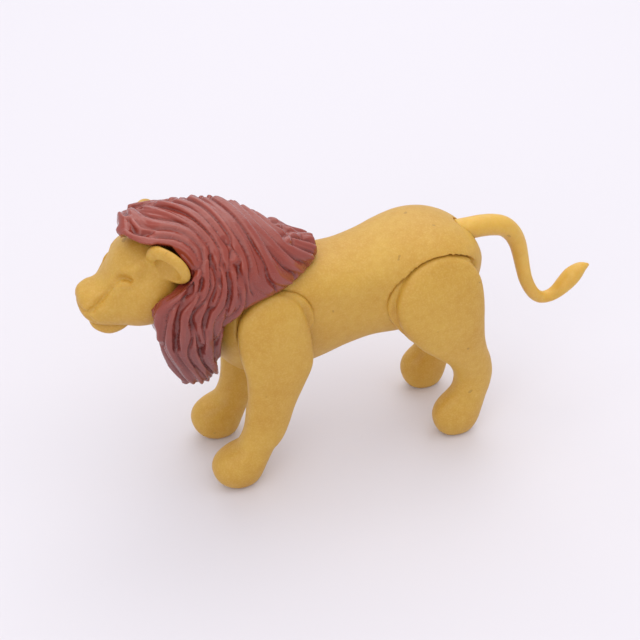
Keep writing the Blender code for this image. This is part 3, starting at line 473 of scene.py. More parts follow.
class Sculptor:
    """Moves the points of a fine skin as a modelling tool would."""

    def __init__(self, piece: bpy.types.Object) -> None:
        """Take a piece in hand.

        Args:
            piece: the piece whose skin is worked.
        """
        self.mesh = piece.data
        count = len(self.mesh.vertices)
        self.points = np.empty(count * 3)
        self.mesh.vertices.foreach_get("co", self.points)
        self.points = self.points.reshape(-1, 3)
        self.normals = np.empty((count, 3))
        self.refresh()

    def refresh(self) -> None:
        """Put the points back and work out the normals again."""
        self.mesh.vertices.foreach_set("co", self.points.ravel())
        self.mesh.update()
        normals = np.empty(len(self.mesh.vertices) * 3)
        self.mesh.vertex_normals.foreach_get("vector", normals)
        self.normals = normals.reshape(-1, 3)

    def far(self, route: np.ndarray) -> np.ndarray:
        """Measure how far each point is from a route.

        Args:
            route: points along it.

        Returns:
            Each point's distance to the nearest of them.
        """
        nearest = np.full(len(self.points), np.inf)
        for place in route:
            nearest = np.minimum(nearest, ((self.points - place) ** 2).sum(axis=1))
        return np.sqrt(nearest)

    def press(self, route: Iterable[tuple[float, float, float]], width: float, depth: float) -> None:
        """Press a soft groove on both sides along a route, or raise a ridge where the depth is negative.

        Args:
            route: points in millimetres, on the left side.
            width: how far from the route the tool works.
            depth: how deep it presses at the route.
        """
        line = dense(np.array(list(route)) * MM, width / 3)
        for side in Side:
            flip = np.array((side.value, 1, 1))
            weight = np.exp(-(self.far(line * flip) / width) ** 2)[:, None]
            self.points += -self.normals * depth * weight
        self.refresh()

    def ease(self, rounds: int) -> None:
        """Smooth the whole skin a little.

        Args:
            rounds: how many times.
        """
        bm = bmesh.new()
        bm.from_mesh(self.mesh)
        for _ in range(rounds):
            bmesh.ops.smooth_vert(bm, verts=bm.verts, factor=0.5, use_axis_x=True, use_axis_y=True,
                                  use_axis_z=True)
        bm.to_mesh(self.mesh)
        bm.free()
        flat = np.empty(len(self.points) * 3)
        self.mesh.vertices.foreach_get("co", flat)
        self.points = flat.reshape(-1, 3)
        self.refresh()


def dense(route: np.ndarray, step: float) -> np.ndarray:
    """Add points to a route, so that none are further apart than a step.

    Args:
        route: its points.
        step: the widest gap that is left.

    Returns:
        The old and the new points in order.
    """
    parts = [route[:1]]
    for start, end in zip(route, route[1:]):
        count = max(2, int(math.ceil(np.linalg.norm(end - start) / step)) + 1)
        parts.append(start + (end - start) * np.linspace(0, 1, count)[1:, None])
    return np.concatenate(parts)


def wave(route: np.ndarray, count: int) -> np.ndarray:
    """Return a smooth curve of a count of points through a route."""
    return np.array(resample(tuple(tuple(point) for point in route), count))


# Finishes


class Wire:
    """A shader socket that takes part in sums."""

    def __init__(self, graph: "Graph", socket: bpy.types.NodeSocket) -> None:
        """Hold a socket of a graph."""
        self.graph = graph
        self.socket = socket

    def __add__(self, other: "Wire | float") -> "Wire":
        """Return the sum."""
        return self.graph.maths("ADD", self, other)

    __radd__ = __add__

    def __mul__(self, other: "Wire | float") -> "Wire":
        """Return the product."""
        return self.graph.maths("MULTIPLY", self, other)

    __rmul__ = __mul__

    def __sub__(self, other: "Wire | float") -> "Wire":
        """Return the difference."""
        return self.graph.maths("SUBTRACT", self, other)

    def __rsub__(self, other: "Wire | float") -> "Wire":
        """Return the difference with the wire taken away."""
        return self.graph.maths("SUBTRACT", other, self)

    def __gt__(self, other: float) -> "Wire":
        """Return one where the wire is greater and zero elsewhere."""
        return self.graph.maths("GREATER_THAN", self, other)


class Graph:
    """The node graph of one material."""

    def __init__(self, name: str) -> None:
        """Start a material with a shader and nothing else.

        Args:
            name: the material's name.
        """
        self.material = bpy.data.materials.new(name)
        self.material.use_nodes = True
        self.tree = self.material.node_tree
        self.shader = self.tree.nodes["Principled BSDF"]
        self.place = self.node("ShaderNodeTexCoord").outputs["Object"]

    def feed(self, target: bpy.types.NodeSocket, value: object) -> None:
        """Link a wire or another socket to a socket, or set its own value.

        Args:
            target: the socket that is fed.
            value: what it gets.
        """
        if isinstance(value, Wire):
            value = value.socket
        if isinstance(value, bpy.types.NodeSocket):
            self.tree.links.new(value, target)
        else:
            target.default_value = value

    def node(self, kind: str, settings: dict | None = None, inputs: dict | None = None) -> bpy.types.Node:
        """Add a node.

        Args:
            kind: the node's type.
            settings: its own settings, which are set first.
            inputs: a value, socket or wire for each named or numbered socket.

        Returns:
            The node.
        """
        node = self.tree.nodes.new(kind)
        for key, value in (settings or {}).items():
            setattr(node, key, value)
        for key, value in (inputs or {}).items():
            self.feed(node.inputs[key], value)
        return node

    def wire(self, socket: bpy.types.NodeSocket) -> Wire:
        """Wrap a socket."""
        return Wire(self, socket)

    def maths(self, operation: str, one: Wire | float, two: Wire | float) -> Wire:
        """Add a Math node."""
        return self.wire(self.node("ShaderNodeMath", {"operation": operation}, {0: one, 1: two}).outputs[0])

    def noise(self, scale: float, detail: float, stretch: tuple[float, float, float] = (1, 1, 1)) -> Wire:
        """Add a noise.

        Args:
            scale: its cells a metre.
            detail: how many finer layers it has.
            stretch: factors on X, Y and Z; less than one draws the cells out.

        Returns:
            The noise, from zero to one.
        """
        place = self.node("ShaderNodeMapping", None, {"Vector": self.place, "Scale": stretch}).outputs[0]
        return self.wire(self.node("ShaderNodeTexNoise", None, {
            "Vector": place, "Scale": scale, "Detail": detail}).outputs[0])

    def ramp(self, wire: Wire, low: float, high: float) -> Wire:
        """Stretch a range of a wire over zero to one and clip it there.

        Args:
            wire: the wire.
            low: its value that becomes zero.
            high: its value that becomes one.

        Returns:
            The stretched wire.
        """
        node = self.node("ShaderNodeMapRange", {"clamp": True},
                         {"Value": wire, "From Min": low, "From Max": high})
        return self.wire(node.outputs[0])

    def mix(self, factor: Wire | float, one: object, two: object) -> bpy.types.NodeSocket:
        """Mix two colours by a factor."""
        node = self.node("ShaderNodeMix", {"data_type": "RGBA"}, {0: factor, 6: one, 7: two})
        return node.outputs[2]

    def join(self, **sockets: object) -> bpy.types.Material:
        """Feed the shader's sockets.

        Args:
            sockets: a value, socket or wire for each, named with low lines for spaces.

        Returns:
            The material.
        """
        for key, value in sockets.items():
            self.feed(self.shader.inputs[key.replace("_", " ")], value)
        return self.material


@dataclass(frozen=True)
class YellowPlastic:
    """Matt moulded plastic with a faint mottle and fine grain; depths are in mm, cells are per metre."""

    name: str
    tone: Tone
    deep: Tone
    pale: Tone
    roughness: float
    glow: float
    swing: float = 0.10
    grain: float = 0.05
    scatter: float = 1.6
    scatter_radius: tuple[float, float, float] = (1.0, 0.45, 0.10)
    cloud_cells: float = 95.0
    mottle_cells: float = 620.0
    grain_cells: float = 2600.0
    speck_cells: float = 410.0
    speck_level: float = 0.785
    speck_tone: Tone = (0.20, 0.10, 0.02, 1.0)

    def dress(self) -> bpy.types.Material:
        """Make the material: clouds, a mottle and specks, with a fine grain in relief.

        Returns:
            The material.
        """
        graph = Graph(self.name)
        broad = graph.ramp(graph.noise(self.cloud_cells, detail=2.0), 0.30, 0.70)
        mottle = graph.ramp(graph.noise(self.mottle_cells, detail=3.0), 0.32, 0.70)
        fine = graph.noise(self.grain_cells, detail=2.0)
        speck = graph.noise(self.speck_cells, detail=1.0) > self.speck_level
        colour = graph.mix(broad * 0.55 + mottle * 0.35, self.tone, self.deep)
        colour = graph.mix(graph.ramp(fine, 0.45, 0.75) * 0.22, colour, self.pale)
        colour = graph.mix(speck * 0.35, colour, self.speck_tone)
        bump = graph.node("ShaderNodeBump", None, {
            "Strength": 0.35, "Distance": self.grain * MM, "Height": fine + mottle * 1.4})
        uneven = graph.ramp(mottle * 0.6 + fine * 0.4, 0.0, 1.0)
        rough = uneven * self.swing + (self.roughness - self.swing / 2)
        return graph.join(Base_Color=colour, Roughness=rough, Normal=bump.outputs[0],
                          Subsurface_Weight=self.glow, Subsurface_Radius=self.scatter_radius,
                          Subsurface_Scale=self.scatter * MM, Specular_IOR_Level=0.45)


@dataclass(frozen=True)
class ManePlastic:
    """Soft red-brown half-gloss plastic; painted highlights on ridges, painted shade in troughs, painted
    floor reflection low down.
    """

    name: str
    tone: Tone
    # deep is the tone of the painted shade in the troughs and of random clouds; pale is the tone of the
    # painted highlights on the ridges
    deep: Tone
    # The next tone is a painted reflection of the pale floor, which greys the lower part
    floor_reflection_tone: Tone
    pale: Tone
    roughness: float
    cloud_cells: float = 110.0
    hair_cells: float = 900.0
    hair_grain: float = 0.08
    # Heights over which the painted floor reflection fades out upwards
    floor_reflection_z: tuple[float, float] = (0.036, 0.056)

    def dress(self) -> bpy.types.Material:
        """Make the material: painted shade in the troughs, painted highlights on the ridges and a painted
        floor reflection low down.

        Returns:
            The material.
        """
        graph = Graph(self.name)
        broad = graph.ramp(graph.noise(self.cloud_cells, detail=2.0), 0.30, 0.70)
        hairs = graph.noise(self.hair_cells, detail=3.0, stretch=(1.0, 0.35, 0.35))
        height = graph.node("ShaderNodeSeparateXYZ", None, {0: graph.place}).outputs["Z"]
        # Painted reflection of the pale floor: strongest low down and gone above these heights
        low = 1.0 - graph.ramp(graph.wire(height), *self.floor_reflection_z)
        # pits is how far the skin lies below its smoothed self: above zero in troughs, below zero on ridges
        pits = graph.wire(graph.node("ShaderNodeAttribute", {"attribute_name": "pit"}).outputs["Fac"])
        colour = graph.mix(low * 0.75, self.tone, self.floor_reflection_tone)
        # Painted shade: the troughs are darkened towards the deep tone
        colour = graph.mix(graph.ramp(pits, 0.15, 0.95) * 0.75, colour, self.deep)
        colour = graph.mix(broad * 0.25, colour, self.deep)
        # Painted highlight: the ridges are lightened towards the pale tone
        colour = graph.mix(graph.ramp(0.0 - pits, 0.10, 0.80) * 0.45, colour, self.pale)
        bump = graph.node("ShaderNodeBump", None, {
            "Strength": 0.25, "Distance": self.hair_grain * MM, "Height": hairs})
        rough = broad * 0.10 + graph.ramp(hairs, 0.3, 0.7) * 0.10 + (self.roughness - 0.08)
        return graph.join(Base_Color=colour, Roughness=rough, Normal=bump.outputs[0],
                          Specular_IOR_Level=0.5, Coat_Weight=0.2, Coat_Roughness=0.10)


@dataclass(frozen=True)
class InnerPlastic:
    """Plain grey plastic of the axles and the pin."""

    name: str = "inner_grey"
    tone: Tone = (0.45, 0.44, 0.42, 1.0)
    shade: Tone = (0.36, 0.352, 0.336, 1.0)
    cloud_cells: float = 700.0

    def dress(self) -> bpy.types.Material:
        """Make the material, with a faint cloud.

        Returns:
            The material.
        """
        graph = Graph(self.name)
        cloud = graph.ramp(graph.noise(self.cloud_cells, detail=2.0), 0.3, 0.7)
        colour = graph.mix(cloud * 0.3, self.tone, self.shade)
        return graph.join(Base_Color=colour, Roughness=cloud * 0.1 + 0.5)


BODY_FINISH = YellowPlastic("ochre_yellow", (0.605, 0.36, 0.056, 1), (0.515, 0.265, 0.026, 1),
                            (0.76, 0.53, 0.19, 1), roughness=0.48, glow=0.12)
TAIL_FINISH = YellowPlastic("tail_yellow", (0.72, 0.44, 0.07, 1), (0.62, 0.34, 0.04, 1),
                            (0.72, 0.48, 0.17, 1), roughness=0.40, glow=0.25)
# Mane tones: base, deep (painted trough shade and clouds), painted floor reflection, pale (painted ridge
# highlights)
MANE_FINISH = ManePlastic("red_brown", (0.30, 0.046, 0.026, 1), (0.12, 0.012, 0.008, 1),
                          (0.185, 0.056, 0.056, 1), (0.40, 0.098, 0.062, 1), roughness=0.22)
INNER_FINISH = InnerPlastic()


class Wardrobe:
    """Makes each finish once and hands it out."""

    def __init__(self) -> None:
        """Dress all the finishes."""
        self.made = {Slot.YELLOW: BODY_FINISH.dress(), Slot.TAIL: TAIL_FINISH.dress(),
                     Slot.MANE: MANE_FINISH.dress(), Slot.INNER: INNER_FINISH.dress()}

    def enrol(self, piece: bpy.types.Object, slot: Slot, body: str, *nodes: str) -> None:
        """Give a new piece its finish, its body and the nodes that it stands for.

        Args:
            piece: the finished piece.
            slot: the record's slot that it takes its finish from.
            body: the moving body that it rides on.
            nodes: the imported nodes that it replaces.
        """
        piece.data.materials.clear()
        piece.data.materials.append(self.made[slot])
        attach(piece, body)
        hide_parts(*nodes)
        LOG.info("%s: %d points on %s, for %s", piece.name, len(piece.data.vertices), body, ", ".join(nodes))

    def repaint(self, node: str, slot: Slot) -> None:
        """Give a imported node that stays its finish.

        Args:
            node: the node's name.
            slot: the record's slot that it takes its finish from.
        """
        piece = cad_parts[node]
        for entry in piece.material_slots:
            entry.material = self.made[slot]
        LOG.info("%s: kept, dressed in %s", node, slot.value)


# The lion

TORSO = Profile(TORSO_SHARES, front=CHEST_Y, base=23.3 * MM, length=60.5 * MM, height=29.3 * MM,
                width=24.8 * MM, power=2.25, waist=0.70, rows=96, count=80)
HEAD = Profile(HEAD_SHARES, front=NOSE_Y, base=HEAD_BASE_Z, length=20.4 * MM, height=20.1 * MM,
               width=16.6 * MM, power=2.15, waist=0.45, rows=72, count=64)
JAW = Profile(JAW_SHARES, front=NOSE_Y + 1.8 * MM, base=HEAD_BASE_Z - 0.4 * MM, length=8.3 * MM,
              height=4.4 * MM, width=7.0 * MM, power=2.15, waist=0.5, rows=36, count=40)
HOOD = Profile(HOOD_SHARES, front=-47.55 * MM, base=28.8 * MM, length=38.8 * MM, height=36.8 * MM,
               width=24.8 * MM, power=2.4, waist=0.30, rows=64, count=88)


@dataclass
class Torso:
    """Hollow body with pockets for the legs and a fork for the neck, and its belly plate."""

    wall: float = 1.8 * MM
    cavity_half: float = 6.2 * MM
    cavity_inset: float = 8.5 * MM
    opening_half: float = 5.0 * MM
    opening_length: float = 40.0 * MM
    opening_rise: float = 11 * MM
    opening_steps: int = 12
    plate_thickness: float = 1.8 * MM
    plate_grain: float = 0.3 * MM
    pocket_floor: float = 8.2 * MM
    flank_floor: float = 9.3 * MM
    swing_reach: float = 24.0 * MM
    swing_steps: int = 24
    # Each pair's axle, its pockets' radius and how far the room swings forward and back, in degrees
    pockets: tuple[tuple[Vector, float, float, float], ...] = (
        (FRONT_AXLE, SHOULDER_RADIUS, 62.0, 67.0), (REAR_AXLE, HAUNCH_RADIUS, 49.0, 82.0))
    pocket_rim: float = 1.5 * MM
    axle_bore: float = 2.3 * MM
    axle_half: float = 11 * MM
    slot_half: float = 4.5 * MM
    slot_drop: float = 6.4 * MM
    slot_depth: float = 7.4 * MM
    pin_half: float = 6.7 * MM
    pin_bore: float = 1.7 * MM
    tail_seat: float = 2.7 * MM
    tail_seat_depth: float = 5.8 * MM
    tail_bore: float = 1.8 * MM
    tail_bore_depth: float = 12 * MM
    cavity_rows: int = 72
    cavity_count: int = 48
    cavity_power: float = 2.8
    grain: float = 0.34 * MM

    def cavity(self) -> list[Ring]:
        """Work out the hollow between the walls.

        Returns:
            Its rings, front first.
        """
        rings = []
        for along, top, bottom, _ in resample(TORSO_SHARES, self.cavity_rows):
            if self.cavity_inset < along * TORSO.length < TORSO.length - self.cavity_inset:
                rings.append(upright_ring(CHEST_Y + along * TORSO.length,
                                          TORSO.base + top * TORSO.height - self.wall,
                                          TORSO.base + bottom * TORSO.height + self.wall, self.cavity_half,
                                          self.cavity_power, TORSO.waist, self.cavity_count))
        return rings

    def outline(self, shrink: float) -> Clay:
        """Make the upright prism of the belly opening.

        Args:
            shrink: how far its sides are drawn in.

        Returns:
            The prism.
        """
        half = self.opening_half - shrink
        middle = (FRONT_AXLE.y + REAR_AXLE.y) / 2
        run = self.opening_length / 2 - self.opening_half
        rings = []
        for z in (TORSO.base - OVERRUN, TORSO.base + self.opening_rise):
            ring = []
            for end, start in ((1, 0.0), (-1, math.pi)):
                for step in range(self.opening_steps + 1):
                    angle = start + math.pi * step / self.opening_steps
                    y = middle + end * run + half * math.sin(angle)
                    ring.append(Vector((half * math.cos(angle), y, z)))
            rings.append(ring)
        return Clay().loft(rings)

    def room(self, side: Side, axle: Vector, forward: float, back: float) -> Clay:
        """Make the sector that a swinging leg passes through.

        Args:
            side: the side that the leg is on.
            axle: the place that it swings about.
            forward: how far it swings forward of straight down, in degrees.
            back: how far it swings back, in degrees.

        Returns:
            The sector.
        """
        rings = []
        for x in (self.flank_floor, TORSO.width / 2 + OVERRUN):
            ring = [Vector((side.value * x, axle.y, axle.z))]
            for step in range(self.swing_steps + 1):
                angle = math.radians(-forward + (forward + back) * step / self.swing_steps)
                ring.append(Vector((side.value * x, axle.y + self.swing_reach * math.sin(angle),
                                    axle.z - self.swing_reach * math.cos(angle))))
            rings.append(ring)
        return Clay().loft(rings)

    def rim(self, side: Side, axle: Vector, radius: float, lean: float) -> Clay:
        """Make the cutter of a pocket's shallow rim, whose floor leans inwards towards its top.

        Args:
            side: the side that the pocket is on.
            axle: its middle.
            radius: its radius.
            lean: how much further in the floor's top lies than its middle.

        Returns:
            The cutter.
        """
        angles = [math.tau * step / RIM_COUNT for step in range(RIM_COUNT)]
        rings = []
        for x, share in ((self.flank_floor, 1.0), (TORSO.width / 2 + OVERRUN, 0.0)):
            rings.append([axle + Vector((side.value * (x - share * lean * math.sin(angle)),
                                         radius * math.cos(angle), radius * math.sin(angle)))
                          for angle in angles])
        return Clay().loft(rings)

    def pocket_tools(self) -> list[Clay]:
        """Make the cutters of the legs' pockets and of the axles.

        Returns:
            The cutters, with those of the rooms that the legs swing in.
        """
        tools = []
        for axle, radius, forward, back in self.pockets:
            for side in Side:
                start = Vector((side.value * self.pocket_floor, axle.y, axle.z))
                end = Vector((side.value * (TORSO.width / 2 + OVERRUN), axle.y, axle.z))
                tools += [self.rim(side, axle, radius + GAP, 0.0), self.room(side, axle, forward, back),
                          self.rim(side, axle, radius + GAP, self.flank_floor - self.pocket_floor),
                          cylinder(start, end, radius + GAP - self.pocket_rim, count=RIM_COUNT)]
            tools.append(bore(axle, self.axle_half, self.axle_bore, count=32))
        return tools

    def end_tools(self) -> list[Clay]:
        """Make the cutters of the neck's fork, its pin and the tail's seat.

        Returns:
            The cutters.
        """
        slot_low = Vector((-self.slot_half, CHEST_Y - OVERRUN, NECK_PIN.z - self.slot_drop))
        slot_high = Vector((self.slot_half, NECK_PIN.y + self.slot_depth,
                            TORSO.base + TORSO.height + OVERRUN))
        inwards, outwards = Vector((0, -1, 0)), Vector((0, 1, 0))
        return [Clay().block(slot_low, slot_high), bore(NECK_PIN, self.pin_half, self.pin_bore, count=24),
                cylinder(TAIL_PEG + self.tail_seat_depth * inwards, TAIL_PEG + OVERRUN * outwards,
                         self.tail_seat, count=48),
                cylinder(TAIL_PEG + self.tail_bore_depth * inwards, TAIL_PEG, self.tail_bore, count=24)]

    def build(self, wardrobe: Wardrobe) -> None:
        """Model the body and the plate.

        Args:
            wardrobe: what dresses the finished pieces.
        """
        body = Clay().loft(TORSO.rings(0.0)).finish("torso_skin")
        carve(body, [Clay().loft(self.cavity()), self.outline(0.0), *self.pocket_tools(), *self.end_tools()])
        reskin(body, self.grain, rounds=4)
        wardrobe.enrol(body, Slot.YELLOW, "torso", "torso_shell")
        plate = Clay().loft(TORSO.rings(0.0)).finish("belly_cover")
        carve(plate, [self.outline(GAP)], operation="INTERSECT")
        carve(plate, [Clay().loft(TORSO.rings(0.0, self.plate_thickness))])
        reskin(plate, self.plate_grain, rounds=3)
        wardrobe.enrol(plate, Slot.YELLOW, "torso", "belly_plate")


@dataclass
class LegPair:
    """Two legs of one pair, each with a round top that sits in its pocket."""

    prefix: str
    axle: Vector
    shares: Rows
    radius: float
    paw: float
    bulge: float
    plate_reach: tuple[float, float]
    body: str
    power: float = 2.3
    rows: int = 84
    ring_count: int = 64
    inner: float = 8.5 * MM
    flank: float = 9.6 * MM
    step: float = 2.5 * MM
    plate: float = 9.9 * MM
    plate_edge: float = 0.5 * MM
    plate_waist: float = 0.22
    plate_taper: float = 1.6
    clear_z: float = 21.3 * MM
    widest: float = 14.47 * MM
    socket: float = 1.8 * MM
    socket_depth: float = 2.9 * MM
    grain: float = 0.27 * MM

    def rings(self) -> list[Ring]:
        """Work out the left leg.

        Returns:
            Its rings, sole first.
        """
        rings = []
        for height, front, back, inner, outer in resample(self.shares, self.rows):
            z = height * (self.axle.z + self.radius)
            ring = level_ring(z, self.axle.y + front * self.paw, self.axle.y + back * self.paw,
                              inner * self.bulge, outer * self.bulge, self.power, self.ring_count)
            if z > self.clear_z:
                for point in ring:
                    from_axle = math.hypot(point.y - self.axle.y, z - self.axle.z)
                    seated = from_axle < self.radius - self.step
                    point.x = max(point.x, self.inner if seated else self.flank)
            rings.append(ring)
        return rings

    def plate_rings(self) -> list[Ring]:
        """Work out the left leg's plate, which fills its pocket and narrows below.

        Returns:
            Its rings, the inner one first.
        """
        rings = []
        forward, back = self.plate_reach
        for x, radius in ((self.inner, self.radius), (self.plate - self.plate_edge, self.radius),
                          (self.plate, self.radius - self.plate_edge)):
            ring = []
            for step in range(RIM_COUNT):
                rise = math.sin(math.tau * step / RIM_COUNT)
                slim = 1.0 - self.plate_waist * min(1.0, max(0.0, -self.plate_taper * rise))
                along = slim * radius * math.cos(math.tau * step / RIM_COUNT)
                ring.append(self.axle + Vector((x, min(back, max(-forward, along)), radius * rise)))
            rings.append(ring)
        return rings

    def build(self, wardrobe: Wardrobe) -> None:
        """Model both legs.

        Args:
            wardrobe: what dresses the finished pieces.
        """
        half = self.socket
        for side, word in ((Side.LEFT, "left"), (Side.RIGHT, "right")):
            clay = Clay().loft(on_side(side, self.rings())).loft(on_side(side, self.plate_rings()))
            leg = clay.finish(f"{self.prefix}_{word}_limb")
            reskin(leg, self.grain, rounds=2)
            ends = sorted(side.value * x for x in (self.inner - OVERRUN, self.inner + self.socket_depth))
            carve(leg, [Clay().block(Vector((ends[0], self.axle.y - half, self.axle.z - half)),
                                     Vector((ends[1], self.axle.y + half, self.axle.z + half)))])
            reskin(leg, self.grain, rounds=3)
            hand = Sculptor(leg)
            hand.points[:, 2] = np.maximum(hand.points[:, 2], 0.0)
            hand.points[:, 0] = np.clip(hand.points[:, 0], -self.widest, self.widest)
            hand.refresh()
            wardrobe.enrol(leg, Slot.YELLOW, self.body, f"{self.prefix}_{word}_leg")


@dataclass
class Tail:
    """S-shaped tail with a tuft, and its peg."""

    inset: float = 5.5 * MM
    reach: float = 29.0 * MM
    droop: float = 22.6 * MM
    thickness: float = 4.8 * MM
    peg: float = 1.5 * MM
    bulb: float = 2.1 * MM
    bulb_back: float = 8.8 * MM
    bulb_length: float = 2.4 * MM
    lap: float = 1 * MM
    peg_lap: float = 1.2 * MM
    least_share: float = 0.06
    rows: int = 120
    ring_count: int = 28
    grain: float = 0.2 * MM

    def build(self, wardrobe: Wardrobe) -> None:
        """Model the tail.

        Args:
            wardrobe: what dresses the finished pieces.
        """
        route, radii = [], []
        for along, rise, thick in resample(TAIL_SHARES, self.rows):
            y = -self.inset + along * (self.reach + self.inset)
            route.append(TAIL_PEG + Vector((0, y, rise * self.droop)))
            radii.append(max(thick, self.least_share) * self.thickness / 2)
        rings = []
        for index, middle in enumerate(route):
            ahead = heading(route, index)
            rings.append(round_ring(middle, ACROSS, ahead.cross(ACROSS), radii[index], self.ring_count))
        clay = Clay().loft(rings)
        back = TAIL_PEG.y - self.bulb_back
        for start, end, radius in ((back - self.peg_lap, TAIL_PEG.y - self.lap, self.peg),
                                   (back - self.bulb_length, back, self.bulb)):
            clay.loft([round_ring(Vector((0, y, TAIL_PEG.z)), ACROSS, UP, radius, self.ring_count)
                       for y in (start, end)])
        tail = clay.finish("tail_curl")
        reskin(tail, self.grain, rounds=4)
        wardrobe.enrol(tail, Slot.TAIL, "tail", "tail")


@dataclass
class Ear:
    """Where the ears stand, how they face and how they are hollowed."""

    out: float = 8.4 * MM
    y: float = -40.45 * MM
    z: float = 58.25 * MM
    radius: float = 4.65 * MM
    thickness: float = 3.2 * MM
    rim: float = 0.8 * MM
    rim_steps: int = 48
    turn: float = 38.0
    tilt: float = 20.0
    dent_place: tuple[float, float, float] = (0.5 * MM, -2.1 * MM, -0.2 * MM)
    dent_shares: tuple[float, float, float] = (0.62, 0.86, 0.68)

    def matrix(self, side: Side) -> Matrix:
        """Place an ear; its own -Y is the way that it faces.

        Args:
            side: the side that it is on.

        Returns:
            The matrix that places it.
        """
        return (Matrix.Translation((side.value * self.out, self.y, self.z))
                @ Matrix.Rotation(math.radians(side.value * self.turn), 4, "Z")
                @ Matrix.Rotation(math.radians(self.tilt), 4, "X"))

    def rim_route(self, side: Side) -> list[Vector]:
        """Work out the circle that the ear's thick rim runs along.

        Args:
            side: the side that it is on.

        Returns:
            Points along it, with the first one again at the end.
        """
        matrix = self.matrix(side)
        reach = self.radius - self.rim
        angles = [math.tau * step / self.rim_steps for step in range(self.rim_steps + 1)]
        return [matrix @ Vector((reach * math.cos(angle), 0.0, reach * math.sin(angle))) for angle in angles]

    def dent(self, side: Side) -> Matrix:
        """Place the ball that hollows out an ear.

        Args:
            side: the side that it is on.

        Returns:
            The matrix that places a unit ball.
        """
        out, forward, rise = self.dent_place
        wide, deep, high = self.dent_shares
        return self.matrix(side) @ (
            Matrix.Translation((side.value * out, forward, rise))
            @ Matrix.Diagonal((self.radius * wide, self.thickness * deep, self.radius * high, 1.0)))


@dataclass
class Head:
    """Skull with ears, brows, eyes, muzzle and a lower jaw."""

    ear: Ear = field(default_factory=Ear)
    rough_grain: float = 0.3 * MM
    grain: float = 0.22 * MM
    jaw_grain: float = 0.2 * MM
    # Strokes on the left of the face, in millimetres: width, depth and route; a negative depth is a ridge
    strokes: Strokes = (
        # Brow, from the eye to the top of the ear, and the flatter side of the head behind it
        (1.5, -0.60, ((5.2, -48.6, 56.9), (5.9, -46.6, 57.6), (6.8, -44.2, 59.6), (7.6, -42.8, 61.2))),
        (1.7, 0.65, ((7.2, -46.0, 54.8), (8.1, -43.6, 57.0), (8.6, -42.4, 59.0))),
        # Hollow of the eye, its slit and the lower lid
        (1.0, 0.50, ((4.4, -50.2, 54.9), (5.0, -49.2, 55.5), (5.9, -48.2, 55.7))),
        (0.42, 1.05, ((4.5, -50.0, 54.7), (4.8, -49.4, 55.2), (5.3, -48.8, 55.35), (5.8, -48.2, 55.35),
                      (6.3, -47.6, 55.1))),
        (0.7, -0.45, ((5.1, -50.0, 54.0), (5.7, -49.0, 54.3), (6.3, -48.0, 54.4))),
        # Crease between cheek and muzzle, and the fullness beside and below it
        (0.60, 0.70, ((4.5, -50.0, 54.6), (4.1, -51.5, 52.7), (4.2, -53.0, 51.1), (4.5, -54.3, 49.9),
                      (4.7, -55.2, 49.1))),
        (1.4, -0.40, ((5.6, -50.2, 52.8), (5.6, -51.6, 51.0), (5.5, -52.8, 49.2))),
        (1.2, -0.25, ((2.9, -54.6, 51.2), (2.2, -55.8, 50.9), (1.0, -56.4, 50.9))),
        # Edge of the nose and the line of the lips
        (0.34, 0.55, ((0.0, -57.4, 48.9), (1.5, -57.2, 48.8), (3.3, -56.7, 48.7), (4.3, -55.8, 48.8),
                      (4.6, -54.8, 49.4))),
        (0.35, 0.30, ((4.1, -56.3, 48.5), (4.4, -55.6, 47.3), (4.4, -54.7, 46.2))),
    )

    def build(self, wardrobe: Wardrobe) -> None:
        """Model the head and the jaw.

        Args:
            wardrobe: what dresses the finished pieces.
        """
        ear = self.ear
        clay = Clay().loft(HEAD.rings())
        for side in Side:
            clay.ball(ear.matrix(side) @ Matrix.Diagonal((ear.radius, ear.thickness / 2, ear.radius, 1.0)))
            clay.tube(ear.rim_route(side), ear.rim)
        head = clay.finish("head_skin")
        reskin(head, self.rough_grain, rounds=1)
        carve(head, [Clay().loft(JAW.rings(GAP))] + [Clay().ball(ear.dent(side)) for side in Side])
        reskin(head, self.grain, rounds=3)
        self.carve_face(Sculptor(head))
        wardrobe.enrol(head, Slot.YELLOW, "head", "head")
        jaw = Clay().loft(JAW.rings()).finish("chin")
        reskin(jaw, self.jaw_grain, rounds=3)
        wardrobe.enrol(jaw, Slot.YELLOW, "head", "jaw")

    def carve_face(self, hand: Sculptor) -> None:
        """Model brows, eye slits, muzzle and lips, and keep the nose in its place.

        Args:
            hand: the sculptor that holds the head.
        """
        for width, depth, route in self.strokes:
            hand.press(route, width * MM, depth * MM)
        hand.ease(rounds=1)
        hand.points[:, 1] = np.maximum(hand.points[:, 1], NOSE_Y)
        hand.refresh()


